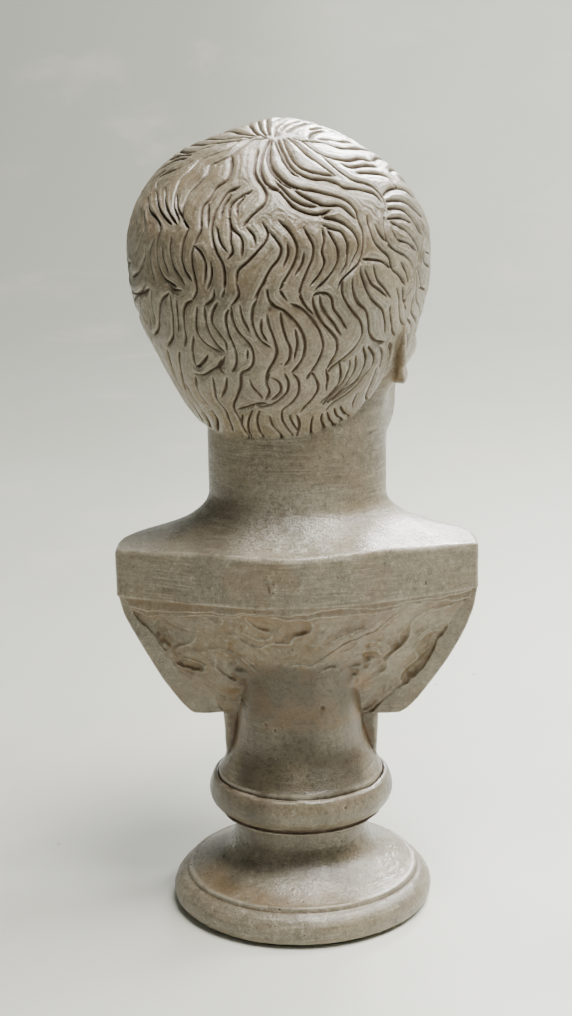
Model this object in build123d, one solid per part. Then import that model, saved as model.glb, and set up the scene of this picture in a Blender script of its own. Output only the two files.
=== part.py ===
from build123d import *
import math
import os

os.makedirs("parts", exist_ok=True)

# Marble bust of a young man on a turned socle, in millimetres.
# Origin: centre of the underside, on the axis of the socle. +Z up, the chest faces -Y, the figure's left is +X.

# ---- driving dimensions -------------------------------------------------
TOTAL_H = 300.0          # underside of the pad to the top of the hair
PAD_R, PAD_T = 47.0, 1.5  # baize disc under the foot
FOOT_R = 50.6            # widest radius of the foot roll
FOOT_BOTTOM_R = 49.2
RIDGE_R, RIDGE_Z = 44.7, 14.2   # raised edge above the foot roll
WAIST_R = 25.4           # narrowest radius of the socle
LIP_R, LIP_Z0, LIP_Z1 = 31.4, 36.8, 39.0
BEAD_R, BEAD_Z = 35.6, 45.6     # collar of the socle
RIM_Z = 52.2             # top of the raised rim round the seat
SEAT_R, SEAT_Z = 31.95, 50.2    # recess that the pillar stands in
SHIM_R, SHIM_T = 24.0, 0.8
PLINTH_R = 31.5          # foot of the pillar, inside the rim
BUST_Z = SEAT_Z + SHIM_T        # underside of the bust

BAND_Z0, BAND_Z1 = 127.0, 144.5  # upright band round the back of the shoulders
SHOULDER_HW = 68.4
BAND_BACK_Y = 36.0
PILLAR_R = 23.8
STEM_R = 30.2            # front of the stem below the chest

HEAD_X, HEAD_Y = 3.6, -19.0      # centre of the skull
HEAD_TURN = -25.0        # the head looks to the figure's right
CHIN_Z = 167.0

# fixing through the socle
STUD_R = 4.0             # M8
STUD_Z0, STUD_Z1 = 3.2, 78.0
SLEEVE_R, SLEEVE_Z0, SLEEVE_Z1 = 7.0, 52.0, 80.0
GROUT_R, GROUT_Z1 = 9.0, 84.0
BUSH_R, BUSH_BORE_R = 6.5, 4.06
BUSH_FLANGE_R, BUSH_FLANGE_T = 9.5, 1.5
POCKET_R, POCKET_Z = 15.0, 20.0  # counterbore in the underside
WASHER_R, WASHER_T = 12.0, 1.5
SPRING_R, SPRING_H, SPRING_T = 11.0, 2.5, 1.2
NUT_AF, NUT_H = 13.0, 6.5
LOCK_H = 4.0


def turned(points):
    """Solid of revolution about Z from an (r, z) outline of straight runs."""
    return revolve(Plane.XZ * make_face(Polyline(*points, close=True)), Axis.Z)


def closed_loop(pts, z):
    return Wire([Spline(*[Vector(x, y, z) for x, y in pts], periodic=True)])


# ---- socle: foot, waist and collar, turned in one stone -------------------
with BuildPart() as socle_b:
    with BuildSketch(Plane.XZ):
        with BuildLine():
            Line((POCKET_R, PAD_T), (FOOT_BOTTOM_R, PAD_T))
            Spline((FOOT_BOTTOM_R, PAD_T), (FOOT_R, 5.4), (49.3, 9.2), (45.6, 12.0),
                   tangents=((1, 0.9), (-1, 0.25)))
            Polyline((45.6, 12.0), (45.0, 12.2), (RIDGE_R + 0.2, 13.6), (RIDGE_R - 0.3, RIDGE_Z), (RIDGE_R - 1.4, RIDGE_Z + 0.1))
            Spline((RIDGE_R - 1.4, RIDGE_Z + 0.1), (36.5, 17.6), (29.4, 22.2), (26.1, 28.0), (WAIST_R, 33.0), (WAIST_R + 0.3, LIP_Z0),
                   tangents=((-1, 0.38), (0.1, 1)))
            Polyline((WAIST_R + 0.3, LIP_Z0), (LIP_R - 0.3, LIP_Z0), (LIP_R, LIP_Z0 + 0.6), (LIP_R, LIP_Z1))
            Spline((LIP_R, LIP_Z1), (34.6, 41.6), (BEAD_R, BEAD_Z), (34.7, 49.8), (32.9, RIM_Z - 0.1),
                   tangents=((1, 0.25), (-1, 0.45)))
            Polyline((32.9, RIM_Z - 0.1), (32.5, RIM_Z), (SEAT_R, RIM_Z - 0.2), (SEAT_R, SEAT_Z), (BUSH_R, SEAT_Z),
                     (BUSH_R, POCKET_Z), (POCKET_R, POCKET_Z), (POCKET_R, PAD_T))
        make_face()
    revolve(axis=Axis.Z)
socle = socle_b.part

base_pad = Pos(0, 0, PAD_T / 2) * Cylinder(PAD_R, PAD_T)
seat_shim = turned([(STUD_R + 2.0, SEAT_Z), (SHIM_R, SEAT_Z), (SHIM_R, SEAT_Z + SHIM_T), (STUD_R + 2.0, SEAT_Z + SHIM_T)])
pivot_bush = turned([(BUSH_BORE_R, POCKET_Z - BUSH_FLANGE_T), (BUSH_FLANGE_R, POCKET_Z - BUSH_FLANGE_T), (BUSH_FLANGE_R, POCKET_Z),
                     (BUSH_R, POCKET_Z), (BUSH_R, SEAT_Z), (BUSH_BORE_R, SEAT_Z)])

# ---- fixing stack ----------------------------------------------------------
washer_top = POCKET_Z - BUSH_FLANGE_T
thrust_washer = turned([(STUD_R + 0.3, washer_top - WASHER_T), (WASHER_R, washer_top - WASHER_T), (WASHER_R, washer_top), (STUD_R + 0.3, washer_top)])
spring_top = washer_top - WASHER_T
disc_spring = turned([(STUD_R + 0.2, spring_top - SPRING_H), (STUD_R + 0.2, spring_top - SPRING_H + SPRING_T),
                      (SPRING_R, spring_top), (SPRING_R, spring_top - SPRING_T)])
nut_top = spring_top - SPRING_H


def nut(z0, height):
    body = Pos(0, 0, z0) * extrude(RegularPolygon(NUT_AF / 2, 6, major_radius=False), height)
    corners = Pos(0, 0, z0 + height / 2) * Cylinder(NUT_AF / 2 * 1.11, height)
    cone = turned([(0, z0 - 1), (NUT_AF / 2 + 0.2, z0 - 1), (NUT_AF / 2 * 1.2, z0 + 1.0), (NUT_AF / 2 * 1.2, z0 + height - 1.0), (NUT_AF / 2 + 0.2, z0 + height + 1), (0, z0 + height + 1)])
    return (body & corners & cone) - Pos(0, 0, z0 + height / 2) * Cylinder(STUD_R, height + 2)


hex_nut = nut(nut_top - NUT_H, NUT_H)
lock_nut = nut(nut_top - NUT_H - LOCK_H, LOCK_H)
pivot_stud = turned([(0, STUD_Z0), (STUD_R - 0.8, STUD_Z0), (STUD_R, STUD_Z0 + 0.8), (STUD_R, STUD_Z1 - 0.8), (STUD_R - 0.8, STUD_Z1), (0, STUD_Z1)])
anchor_sleeve = turned([(STUD_R, SLEEVE_Z0), (SLEEVE_R, SLEEVE_Z0), (SLEEVE_R, SLEEVE_Z1), (0, SLEEVE_Z1), (0, STUD_Z1), (STUD_R, STUD_Z1)])
anchor_grout = turned([(STUD_R + 1.0, BUST_Z), (GROUT_R, BUST_Z), (GROUT_R, GROUT_Z1), (0, GROUT_Z1), (0, SLEEVE_Z1), (SLEEVE_R, SLEEVE_Z1),
                       (SLEEVE_R, SLEEVE_Z0), (STUD_R + 1.0, SLEEVE_Z0)])

# ---- bust: torso -----------------------------------------------------------
TORSO_X = [0, .22, .44, .66, .86, .97, 1.0, .93, .72, .38, 0]
TORSO_B = [0, .06, .20, .39, .60, .79, 1.0]
TORSO_F = [.36, .74, .97, .95]


def torso_loop(z, hw, back, side, front):
    half = []
    for i, fx in enumerate(TORSO_X):
        y = back - TORSO_B[i] * (back - side) if i < 7 else side - TORSO_F[i - 7] * (side - front)
        half.append((fx * hw, y))
    return closed_loop(half + [(-x, y) for x, y in half[-2:0:-1]], z)


chest = Solid.make_loft([
    torso_loop(75.4, 42.4, 7.2, -10.0, -33.0),
    torso_loop(78.4, 46.8, 9.2, -8.5, -37.5),
    torso_loop(86.4, 52.6, 14.0, -6.0, -44.0),
    torso_loop(98.5, 60.0, 21.2, -3.5, -50.0),
    torso_loop(112.0, 65.6, 28.6, -0.5, -52.5),
    torso_loop(BAND_Z0, 67.9, 34.8, 1.5, -49.5),
])
band = Solid.make_loft([
    torso_loop(BAND_Z0, SHOULDER_HW, BAND_BACK_Y, 2.0, -50.0),
    torso_loop((BAND_Z0 + BAND_Z1) / 2, SHOULDER_HW + 0.2, BAND_BACK_Y, 2.0, -47.0),
    torso_loop(BAND_Z1, SHOULDER_HW - 1.4, BAND_BACK_Y, 2.0, -43.0),
])
shoulders = Solid.make_loft([
    torso_loop(BAND_Z1, SHOULDER_HW - 1.8, BAND_BACK_Y - 0.4, 2.0, -42.5),
    torso_loop(146.4, 57.5, 32.8, -0.5, -41.5),
    torso_loop(149.6, 46.5, 27.8, -3.5, -41.0),
    torso_loop(153.6, 38.4, 22.6, -7.0, -40.0),
    torso_loop(158.6, 33.4, 18.0, -9.5, -38.4),
    torso_loop(164.0, 29.0, 13.0, -10.5, -35.0),
])


def neck_ring(z, half_width, half_depth, y):
    return (Pos(0.4, y, z) * Rot(0, 0, -20) * Ellipse(half_width, half_depth)).wire()


neck = Solid.make_loft([
    neck_ring(150.0, 34.0, 27.6, -10.0),
    neck_ring(160.0, 33.2, 27.0, -10.6),
    neck_ring(174.0, 32.9, 26.6, -11.0),
    neck_ring(188.0, 32.8, 26.4, -11.4),
    neck_ring(206.0, 31.6, 25.0, -12.0),
])

# ---- bust: rear pillar and stem ----------------------------------------------
with BuildPart() as pillar_b:
    with BuildSketch(Plane.XZ):
        with BuildLine():
            Polyline((GROUT_R, BUST_Z), (PLINTH_R, BUST_Z), (PLINTH_R, 52.6))
            Spline((PLINTH_R, 52.6), (29.7, 56.4), (26.2, 63.5), (24.2, 73.0), (PILLAR_R, 84.0), (23.0, 96.0), (18.0, 104.0), (10.0, 107.6), (0, 108.6),
                   tangents=((-0.3, 1), (-1, 0)))
            Polyline((0, 108.6), (0, GROUT_Z1), (GROUT_R, GROUT_Z1), (GROUT_R, BUST_Z))
        make_face()
    revolve(axis=Axis.Z)
pillar = pillar_b.part
stem = turned([(0, 90.0), (0, 86.0), (12.0, 86.0), (12.0, BUST_Z + 1.2), (PLINTH_R - 0.6, BUST_Z + 1.2), (STEM_R, 60.0), (STEM_R, 82.0), (24.0, 90.0)])
stem = stem & (Pos(0, -30, 70) * Box(80, 64, 60))

# ---- bust: head -------------------------------------------------------------
HEAD_F = [1.0, .965, .84, .62, .34]      # forward reach at each step round from the face to the side
HEAD_FX = [0, .34, .64, .86, .97]
HEAD_B = [0, .34, .63, .86, .965, 1.0]
HEAD_BX = [1.0, .965, .82, .57, .30, 0]


def head_loop(z, hw, back, mid, front, taper=1.0):
    half = [(fx * hw * (taper + (1 - taper) * f if f < 0.99 else 1), mid - f * (mid - front)) for f, fx in zip(HEAD_F, HEAD_FX)]
    half += [(fx * hw, mid + f * (back - mid)) for f, fx in zip(HEAD_B, HEAD_BX)]
    return closed_loop(half + [(-x, y) for x, y in half[-2:0:-1]], z)


head = Solid.make_loft([
    head_loop(CHIN_Z, 10.0, -24.0, -34.0, -44.0),
    head_loop(169.0, 14.5, -10.0, -32.0, -50.0),
    head_loop(173.5, 19.8, 4.0, -28.0, -52.5),
    head_loop(180.0, 26.0, 22.0, -20.0, -52.5),
    head_loop(186.0, 30.5, 38.5, -14.0, -53.5),
    head_loop(194.0, 35.5, 45.5, -9.0, -54.5),
    head_loop(202.0, 40.0, 50.0, -5.0, -55.0),
    head_loop(214.0, 47.4, 55.6, -1.0, -56.5),
    head_loop(228.0, 51.6, 60.4, 2.0, -59.5),
    head_loop(244.0, 54.4, 62.8, 3.0, -60.0),
    head_loop(258.0, 54.2, 62.2, 3.0, -58.5),
    head_loop(271.0, 49.0, 56.6, 2.5, -53.0),
    head_loop(283.0, 38.6, 45.5, 2.0, -42.0),
    head_loop(292.4, 25.2, 31.0, 1.5, -28.0),
    head_loop(298.2, 11.8, 15.5, 1.0, -13.0),
    head_loop(TOTAL_H, 2.6, 3.6, 1.0, -1.6),
])


def nose_ring(z, half, bridge, front):
    pts = [(-half, -50, z), (half, -50, z), (half * 0.62, front + 4.0, z), (bridge, front, z), (-bridge, front, z), (-half * 0.62, front + 4.0, z)]
    return Wire(Polyline(*pts, close=True).edges())


nose = Solid.make_loft([
    nose_ring(224.0, 5.0, 2.2, -61.4),
    nose_ring(216.0, 5.4, 2.4, -63.0),
    nose_ring(206.5, 8.0, 3.0, -67.0),
    nose_ring(202.6, 10.4, 3.8, -70.8),
    nose_ring(199.4, 10.4, 3.6, -69.8),
    nose_ring(197.0, 8.4, 2.4, -64.0),
], True)


def ear(side):
    plate = scale(Sphere(10), by=(0.42, 1.05, 1.75))
    return Pos(side * 49.0, -1.0, 213.0) * Rot(0, 0, side * 20) * Rot(0, side * 10, 0) * Rot(8, 0, 0) * plate


head_solid = head + nose + ear(1) + ear(-1)
head_solid = Pos(HEAD_X, HEAD_Y, 0) * Rot(0, 0, HEAD_TURN) * head_solid

scoops = [Pos(side * 37.0, 27.0, 101.0) * Rot(0, side * 24, 0) * Rot(-22, 0, 0) * scale(Sphere(10), by=(1.5, 1.1, 2.0)) for side in (-1, 1)]
torso = chest - scoops[0] - scoops[1]
torso = torso + band + shoulders + neck
base = pillar + stem
bust = torso + base
bore = Pos(0, 0, (BUST_Z + GROUT_Z1) / 2) * Cylinder(GROUT_R, GROUT_Z1 - BUST_Z)
bust = (bust + head_solid) - bore

PARTS = {
    "socle": socle,
    "base_pad": base_pad,
    "seat_shim": seat_shim,
    "pivot_bush": pivot_bush,
    "thrust_washer": thrust_washer,
    "disc_spring": disc_spring,
    "hex_nut": hex_nut,
    "lock_nut": lock_nut,
    "pivot_stud": pivot_stud,
    "anchor_sleeve": anchor_sleeve,
    "anchor_grout": anchor_grout,
    "bust": bust,
}
for name, shape in PARTS.items():
    print(name, len(shape.solids()), round(shape.volume), shape.is_valid)
    export_step(shape, f"parts/{name}.step")
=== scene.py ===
import math
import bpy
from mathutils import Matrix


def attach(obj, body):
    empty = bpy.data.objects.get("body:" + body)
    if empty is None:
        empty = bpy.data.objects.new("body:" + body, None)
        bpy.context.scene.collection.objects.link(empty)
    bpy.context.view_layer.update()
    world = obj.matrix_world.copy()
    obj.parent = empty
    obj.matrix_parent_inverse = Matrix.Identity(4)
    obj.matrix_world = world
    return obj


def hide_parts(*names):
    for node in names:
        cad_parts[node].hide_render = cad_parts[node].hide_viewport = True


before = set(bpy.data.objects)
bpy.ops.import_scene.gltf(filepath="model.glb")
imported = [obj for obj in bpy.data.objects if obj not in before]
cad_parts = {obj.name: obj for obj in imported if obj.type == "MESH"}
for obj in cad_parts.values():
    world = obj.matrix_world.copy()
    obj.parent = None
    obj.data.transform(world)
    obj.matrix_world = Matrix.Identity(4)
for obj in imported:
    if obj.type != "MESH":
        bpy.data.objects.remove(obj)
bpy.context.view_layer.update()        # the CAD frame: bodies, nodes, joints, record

from concurrent.futures import ThreadPoolExecutor

import bmesh
import bpy
import numpy as np
import openvdb
from mathutils import Matrix, Vector

MM = 0.001


# ---------------------------------------------------------------- shape tools (millimetres, same frame as the CAD)
def smin(a, b, k):
    h = np.clip(0.5 + 0.5 * (b - a) / k, 0.0, 1.0)
    return b + (a - b) * h - k * h * (1.0 - h)


def smax(a, b, k):
    return -smin(-a, -b, k)


def ell(x, y, z, c, r):
    qx, qy, qz = (x - c[0]) / r[0], (y - c[1]) / r[1], (z - c[2]) / r[2]
    k0 = np.sqrt(qx * qx + qy * qy + qz * qz) + 1e-6
    k1 = np.sqrt((qx / r[0]) ** 2 + (qy / r[1]) ** 2 + (qz / r[2]) ** 2) + 1e-9
    return k0 * (k0 - 1.0) / k1


def rod(x, y, z, a, b, ra, rb):
    ab = (b[0] - a[0], b[1] - a[1], b[2] - a[2])
    L = ab[0] ** 2 + ab[1] ** 2 + ab[2] ** 2
    t = np.clip(((x - a[0]) * ab[0] + (y - a[1]) * ab[1] + (z - a[2]) * ab[2]) / L, 0.0, 1.0)
    return np.sqrt((x - a[0] - ab[0] * t) ** 2 + (y - a[1] - ab[1] * t) ** 2 + (z - a[2] - ab[2] * t) ** 2) - (ra + (rb - ra) * t)


def smooth_table(zs, vs, n=400):
    """Dense monotone cubic table through the given values."""
    zs, vs = np.asarray(zs, float), np.asarray(vs, float)
    h = np.diff(zs)
    d = np.diff(vs) / h
    m = np.zeros(len(zs))
    m[0], m[-1] = d[0], d[-1]
    for i in range(1, len(zs) - 1):
        if d[i - 1] * d[i] > 0:
            w1, w2 = 2 * h[i] + h[i - 1], h[i] + 2 * h[i - 1]
            m[i] = (w1 + w2) / (w1 / d[i - 1] + w2 / d[i])
    zz = np.linspace(zs[0], zs[-1], n)
    i = np.clip(np.searchsorted(zs, zz, side="right") - 1, 0, len(zs) - 2)
    t = (zz - zs[i]) / h[i]
    out = ((2 * t ** 3 - 3 * t ** 2 + 1) * vs[i] + (t ** 3 - 2 * t ** 2 + t) * h[i] * m[i]
           + (-2 * t ** 3 + 3 * t ** 2) * vs[i + 1] + (t ** 3 - t ** 2) * h[i] * m[i + 1])
    return zz, out


class Sections:
    """A stack of egg-shaped level sections: z, half width left, half width right, back, mid, front."""

    def __init__(self, rows, n, closed_top=True):
        rows = np.asarray(rows, float)
        self.n, self.top, self.closed = n, rows[-1, 0], closed_top
        z = rows[:, 0]
        self.mid = smooth_table(z, rows[:, 4])
        self.tabs = [smooth_table(z, v * v) for v in (rows[:, 1], rows[:, 2], rows[:, 3] - rows[:, 4], rows[:, 4] - rows[:, 5])]

    def __call__(self, x, y, z):
        zz = np.minimum(z, 2 * self.top - z) if self.closed else z
        hl, hr, bk, fr = [np.sqrt(np.maximum(np.interp(zz, *t), 1e-4)) for t in self.tabs]
        mid = np.interp(zz, *self.mid)
        a = np.where(x > 0, hl, hr)
        dy = y - mid
        b = np.where(dy > 0, bk, fr)
        q = (np.abs(x / a) ** self.n + np.abs(dy / b) ** self.n) ** (1.0 / self.n) + 1e-7
        rho = np.sqrt(x * x + dy * dy) + 1e-7
        r = rho / q
        return np.where(z > self.top, rho + r, rho - r) if self.closed else rho - r


def hash3(i, j, k, seed):
    v = (i * 374761393 + j * 668265263 + k * 2147483647 + seed * 1274126177) & 0xFFFFFFFF
    v = ((v ^ (v >> 13)) * 1274126177) & 0xFFFFFFFF
    return ((v ^ (v >> 16)) & 0xFFFF) / 32767.5 - 1.0


def noise3(x, y, z, scale, seed=0):
    """Smooth value noise in -1..1 with cells of the given size."""
    x, y, z = x / scale, y / scale, z / scale
    xi, yi, zi = np.floor(x).astype(np.int64), np.floor(y).astype(np.int64), np.floor(z).astype(np.int64)
    u, v, w = x - xi, y - yi, z - zi
    u, v, w = u * u * (3 - 2 * u), v * v * (3 - 2 * v), w * w * (3 - 2 * w)
    out = 0.0
    for a, wa in ((0, 1 - u), (1, u)):
        for b, wb in ((0, 1 - v), (1, v)):
            for c, wc in ((0, 1 - w), (1, w)):
                out = out + wa * wb * wc * hash3(xi + a, yi + b, zi + c, seed)
    return out


# ---------------------------------------------------------------- head, in its own turned frame (face towards -y)
HEAD_X, HEAD_Y, TURN = 3.6, -19.0, math.radians(25.0)
CT, ST = math.cos(TURN), math.sin(TURN)


def to_head(x, y):
    dx, dy = x - HEAD_X, y - HEAD_Y
    return CT * dx - ST * dy, ST * dx + CT * dy


def from_head(x, y):
    return HEAD_X + CT * x + ST * y, HEAD_Y - ST * x + CT * y


SKIN = Sections([
    (166.0, 10.0, 10.0, -30.0, -42.0, -51.0), (169.0, 14.5, 14.5, -26.0, -41.0, -55.0), (174.0, 20.0, 20.0, -14.0, -36.0, -57.0),
    (180.0, 25.5, 25.5, -4.0, -28.0, -56.0), (188.0, 31.0, 31.0, 6.0, -20.0, -55.0), (196.0, 35.0, 35.0, 14.0, -14.0, -55.0),
    (206.0, 38.5, 38.5, 24.0, -9.0, -55.5), (216.0, 41.0, 41.0, 34.0, -5.0, -56.0), (226.0, 43.0, 43.0, 42.0, -2.0, -56.0),
    (236.0, 44.5, 44.5, 47.0, 0.0, -57.0), (250.0, 46.5, 46.5, 50.0, 1.0, -57.5), (262.0, 46.0, 46.0, 50.0, 1.0, -55.5),
    (275.0, 41.0, 41.0, 44.0, 1.0, -47.5), (285.0, 31.0, 31.0, 34.0, 1.0, -35.5), (292.0, 18.0, 18.0, 20.0, 1.0, -20.0),
    (295.0, 1.0, 1.0, 2.0, 1.0, 0.0)], 2.25)

HAIR = Sections([
    (176.0, 26.0, 27.0, 18.0, -12.0, -40.0), (182.0, 28.5, 32.0, 28.5, -10.0, -44.0), (188.0, 32.6, 36.5, 36.5, -8.0, -49.0),
    (194.0, 35.8, 40.0, 42.0, -6.0, -52.0), (202.0, 39.6, 43.2, 47.6, -4.0, -55.0), (214.0, 44.8, 47.4, 53.6, -1.0, -57.5),
    (228.0, 50.6, 52.0, 58.8, 2.0, -59.5), (244.0, 54.2, 55.0, 61.6, 3.0, -60.2), (256.0, 54.6, 55.0, 61.4, 3.0, -58.8),
    (268.0, 52.2, 50.8, 57.2, 2.5, -54.2), (279.0, 45.8, 42.6, 48.6, 2.0, -46.0), (288.0, 35.6, 31.0, 37.0, 1.5, -34.5),
    (294.6, 20.0, 19.0, 23.0, 1.0, -21.0), (298.2, 9.0, 9.4, 11.0, 1.0, -10.0), (299.3, 1.0, 1.0, 2.0, 1.0, 0.0)], 2.08)

# lower edge of the hair round the head: angle from the nape (degrees), height
HAIRLINE = smooth_table([0, 25, 45, 62, 74, 84, 92, 99, 106, 114, 124, 136, 150, 165, 180],
                        [184.5, 185.0, 187.5, 192.0, 198.0, 206.0, 208.0, 206.0, 213.0, 232.0, 246.0, 254.0, 259.0, 261.5, 262.5])


def hairline(x, y):
    a = np.degrees(np.arctan2(np.abs(x), y))
    return np.interp(a, *HAIRLINE)


EAR = 0.86


def ear(x, y, z, s):
    """One ear: a dished plate with a rolled rim, standing out from the skull."""
    al, tl = math.radians(22.0), math.radians(9.0)
    px, py, pz = (s * x - 44.0) / EAR, (y + 1.5) / EAR, (z - 217.0) / EAR
    u0 = px * math.sin(al) + py * math.cos(al)
    w = px * math.cos(al) - py * math.sin(al)
    u = u0 * math.cos(tl) - pz * math.sin(tl)
    v = u0 * math.sin(tl) + pz * math.cos(tl)
    su = 9.6 + 0.15 * v - 0.004 * v * v
    su = np.maximum(su, 4.0)
    q = np.sqrt((u / su) ** 2 + (v / 17.2) ** 2) + 1e-6
    rad = np.sqrt(u * u + v * v) / q
    edge = (q - 1.0) * rad
    bowl = w - 1.2 - 2.6 * np.clip(q, 0, 1.3) ** 2            # plate curls outward to the rim
    plate = smax(np.abs(bowl) - 1.15, edge + 1.0, 1.0)
    rim = np.sqrt((edge + 1.7) ** 2 + (bowl - 0.5) ** 2) - 1.75
    rim = smax(rim, -(u + 8.5 + 0.15 * v), 1.5)
    rim = smax(rim, -(v + 8.0), 2.0)
    f = smin(plate, rim, 1.2)
    for a, b, ra, rb in (((0.5, -7.5), (3.6, -2.0), 1.3, 1.5), ((3.6, -2.0), (3.6, 4.0), 1.5, 1.5),
                         ((3.6, 4.0), (0.4, 9.5), 1.5, 1.0), ((3.6, 3.0), (-2.6, 6.4), 1.3, 0.9)):
        f = smin(f, rod(u, v, bowl, (a[0], a[1], 1.0), (b[0], b[1], 1.0), ra, rb), 1.3)
    f = smin(f, ell(u, v, bowl, (-1.6, -13.0, 0.3), (4.8, 5.0, 2.3)), 2.0)      # lobe
    f = smin(f, ell(u, v, bowl, (-6.4, -3.6, 1.4), (2.0, 3.0, 2.4)), 1.2)       # tragus
    f = smin(f, ell(u, v, bowl, (-0.8, -8.6, 1.0), (2.4, 1.8, 1.8)), 1.2)
    return f * EAR, ell(u, v, bowl, (-1.6, -2.4, 1.2), (4.1, 5.6, 3.0)) * EAR


def face_parts(x, y, z, f):
    ax = np.abs(x)
    f = smin(f, ell(ax, y, z, (0, -48.5, 173.5), (11.5, 9.5, 7.6)), 6.0)                # chin
    f = smin(f, ell(ax, y, z, (26.5, -35.5, 212.5), (12.5, 12.5, 8.5)), 11.0)           # cheekbones
    f = smin(f, ell(ax, y, z, (29.0, -12.0, 189.0), (8.5, 15.0, 12.0)), 9.0)            # jaw
    f = smin(f, ell(ax, y, z, (0, -48.0, 190.5), (17.5, 10.6, 12.5)), 9.0)              # mouth mound
    f = smin(f, rod(ax, y, z, (6.0, -54.6, 233.2), (24.0, -46.5, 236.0), 4.0, 3.2), 5.0)  # brow
    f = smax(f, -ell(ax, y, z, (17.2, -60.6, 225.2), (11.0, 9.0, 6.6)), 5.0)            # socket
    f = smin(f, rod(x, y, z, (0, -55.0, 234.5), (0, -65.6, 207.5), 3.4, 4.1), 5.5)      # nose
    f = smin(f, ell(x, y, z, (0, -65.6, 205.4), (4.6, 5.2, 4.6)), 3.0)
    f = smin(f, ell(ax, y, z, (6.2, -60.4, 203.6), (3.0, 4.8, 3.6)), 2.4)
    f = smin(f, rod(x, y, z, (0, -65.8, 202.2), (0, -59.0, 200.0), 1.9, 1.9), 1.6)
    f = smax(f, -ell(ax, y, z, (3.3, -62.8, 199.8), (1.5, 2.9, 2.0)), 0.9)
    # eyes: ball, lids with a cut almond opening
    lid = np.sqrt((ax - 16.6) ** 2 + (y + 43.0) ** 2 + (z - 225.4) ** 2) - 12.0
    t = (ax - 16.6) / 10.4
    slit = np.abs(z - 225.0 - 0.6 * t) - 4.3 * (1.0 - t * t)
    lids = smax(lid, -slit * 0.85, 0.8)
    f = smin(f, lids, 1.8)
    ball = np.sqrt((ax - 16.4) ** 2 + (y + 43.4) ** 2 + (z - 225.2) ** 2) - 10.3
    f = smin(f, ball, 0.5)
    f = smax(f, -(np.sqrt((np.sqrt((ax - 16.6) ** 2 + (z - 221.6) ** 2) - 10.6) ** 2 + (y + 54.2) ** 2) - 0.75 + 9.0 * np.clip((226.5 - z) / 6.0, 0, 1)), 1.0)
    # lips
    f = smin(f, rod(ax, y, z, (0.8, -59.8, 192.3), (9.8, -56.1, 190.4), 2.1, 1.0), 1.3)
    f = smin(f, rod(ax, y, z, (0.0, -59.2, 186.7), (7.8, -56.2, 188.1), 2.7, 1.4), 1.3)
    f = smax(f, -rod(ax, y, z, (0.0, -61.6, 189.9), (6.0, -60.3, 189.7), 0.7, 0.6), 0.8)
    f = smax(f, -rod(ax, y, z, (6.0, -60.3, 189.7), (11.2, -57.2, 189.6), 0.6, 0.4), 0.8)
    f = smax(f, -ell(ax, y, z, (12.4, -58.0, 189.2), (1.8, 1.6, 1.6)), 2.6)
    f = smax(f, -rod(x, y, z, (0, -61.0, 195.4), (0, -58.9, 199.2), 1.3, 1.1), 2.2)
    f = smax(f, -ell(x, y, z, (0, -60.6, 181.4), (8.5, 3.2, 2.6)), 4.0)
    return f


def head_field(X, Y, z):
    """Returns the skin field and the hair field of the head."""
    x, y = to_head(X, Y)
    skin = SKIN(x, y, z)
    skin = smax(skin, 166.5 - z + 0.10 * (y + 50.0), 5.0)
    skin = face_parts(x, y, z, skin)
    zh = hairline(x, y)
    hair = smax(HAIR(x, y, z), zh - z, 3.2)
    for s in (1.0, -1.0):
        e, concha = ear(x, y, z, s)
        skin = smin(skin, e, 2.2)
        skin = smax(skin, -concha, 1.2)
    skin = smin(skin, ell(np.abs(x), y, z, (39.0, -4.0, 212.0), (5.0, 7.5, 13.0)), 5.0)       # roots of the ears
    return skin, hair


# ---------------------------------------------------------------- neck, shoulders, band, hollow back and pillar
T_Z = [60.0, 75.4, 78.4, 86.4, 98.5, 112.0, 126.9]
T_HW = smooth_table([60.0, 75.4, 78.4, 86.4, 98.5, 106.0, 112.0, 119.5, 126.9], [33.0, 38.0, 41.8, 48.4, 56.0, 60.0, 62.9, 65.8, 67.2])
T_FRONT = smooth_table(T_Z, [-26.0, -33.0, -37.5, -44.0, -50.0, -52.5, -50.5])
T_FLOOR = smooth_table([60.0, 75.4, 86.0, 96.0, 105.0, 112.0, 120.0, 126.9], [1.0, 8.0, 15.0, 20.6, 24.8, 28.0, 31.6, 34.8])
T_RIM = smooth_table(T_Z, [5.0, 5.6, 6.0, 6.8, 8.4, 9.8, 11.4])
T_RIMW = smooth_table([60.0, 76.0, 86.0, 98.0, 110.0, 118.0, 123.0, 126.9], [12.0, 12.0, 10.6, 8.6, 6.6, 4.6, 2.6, 1.2])
PILLAR = smooth_table([50.9, 52.8, 56.4, 63.5, 73.0, 84.0, 96.0, 104.0, 109.0], [31.4, 31.3, 29.7, 26.3, 24.2, 23.6, 23.4, 23.3, 23.3])


def back_wall(x):
    return 36.8 - 0.0430 * (np.sqrt((x - 1.5) ** 2 + 5.0)) ** 1.50


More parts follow.
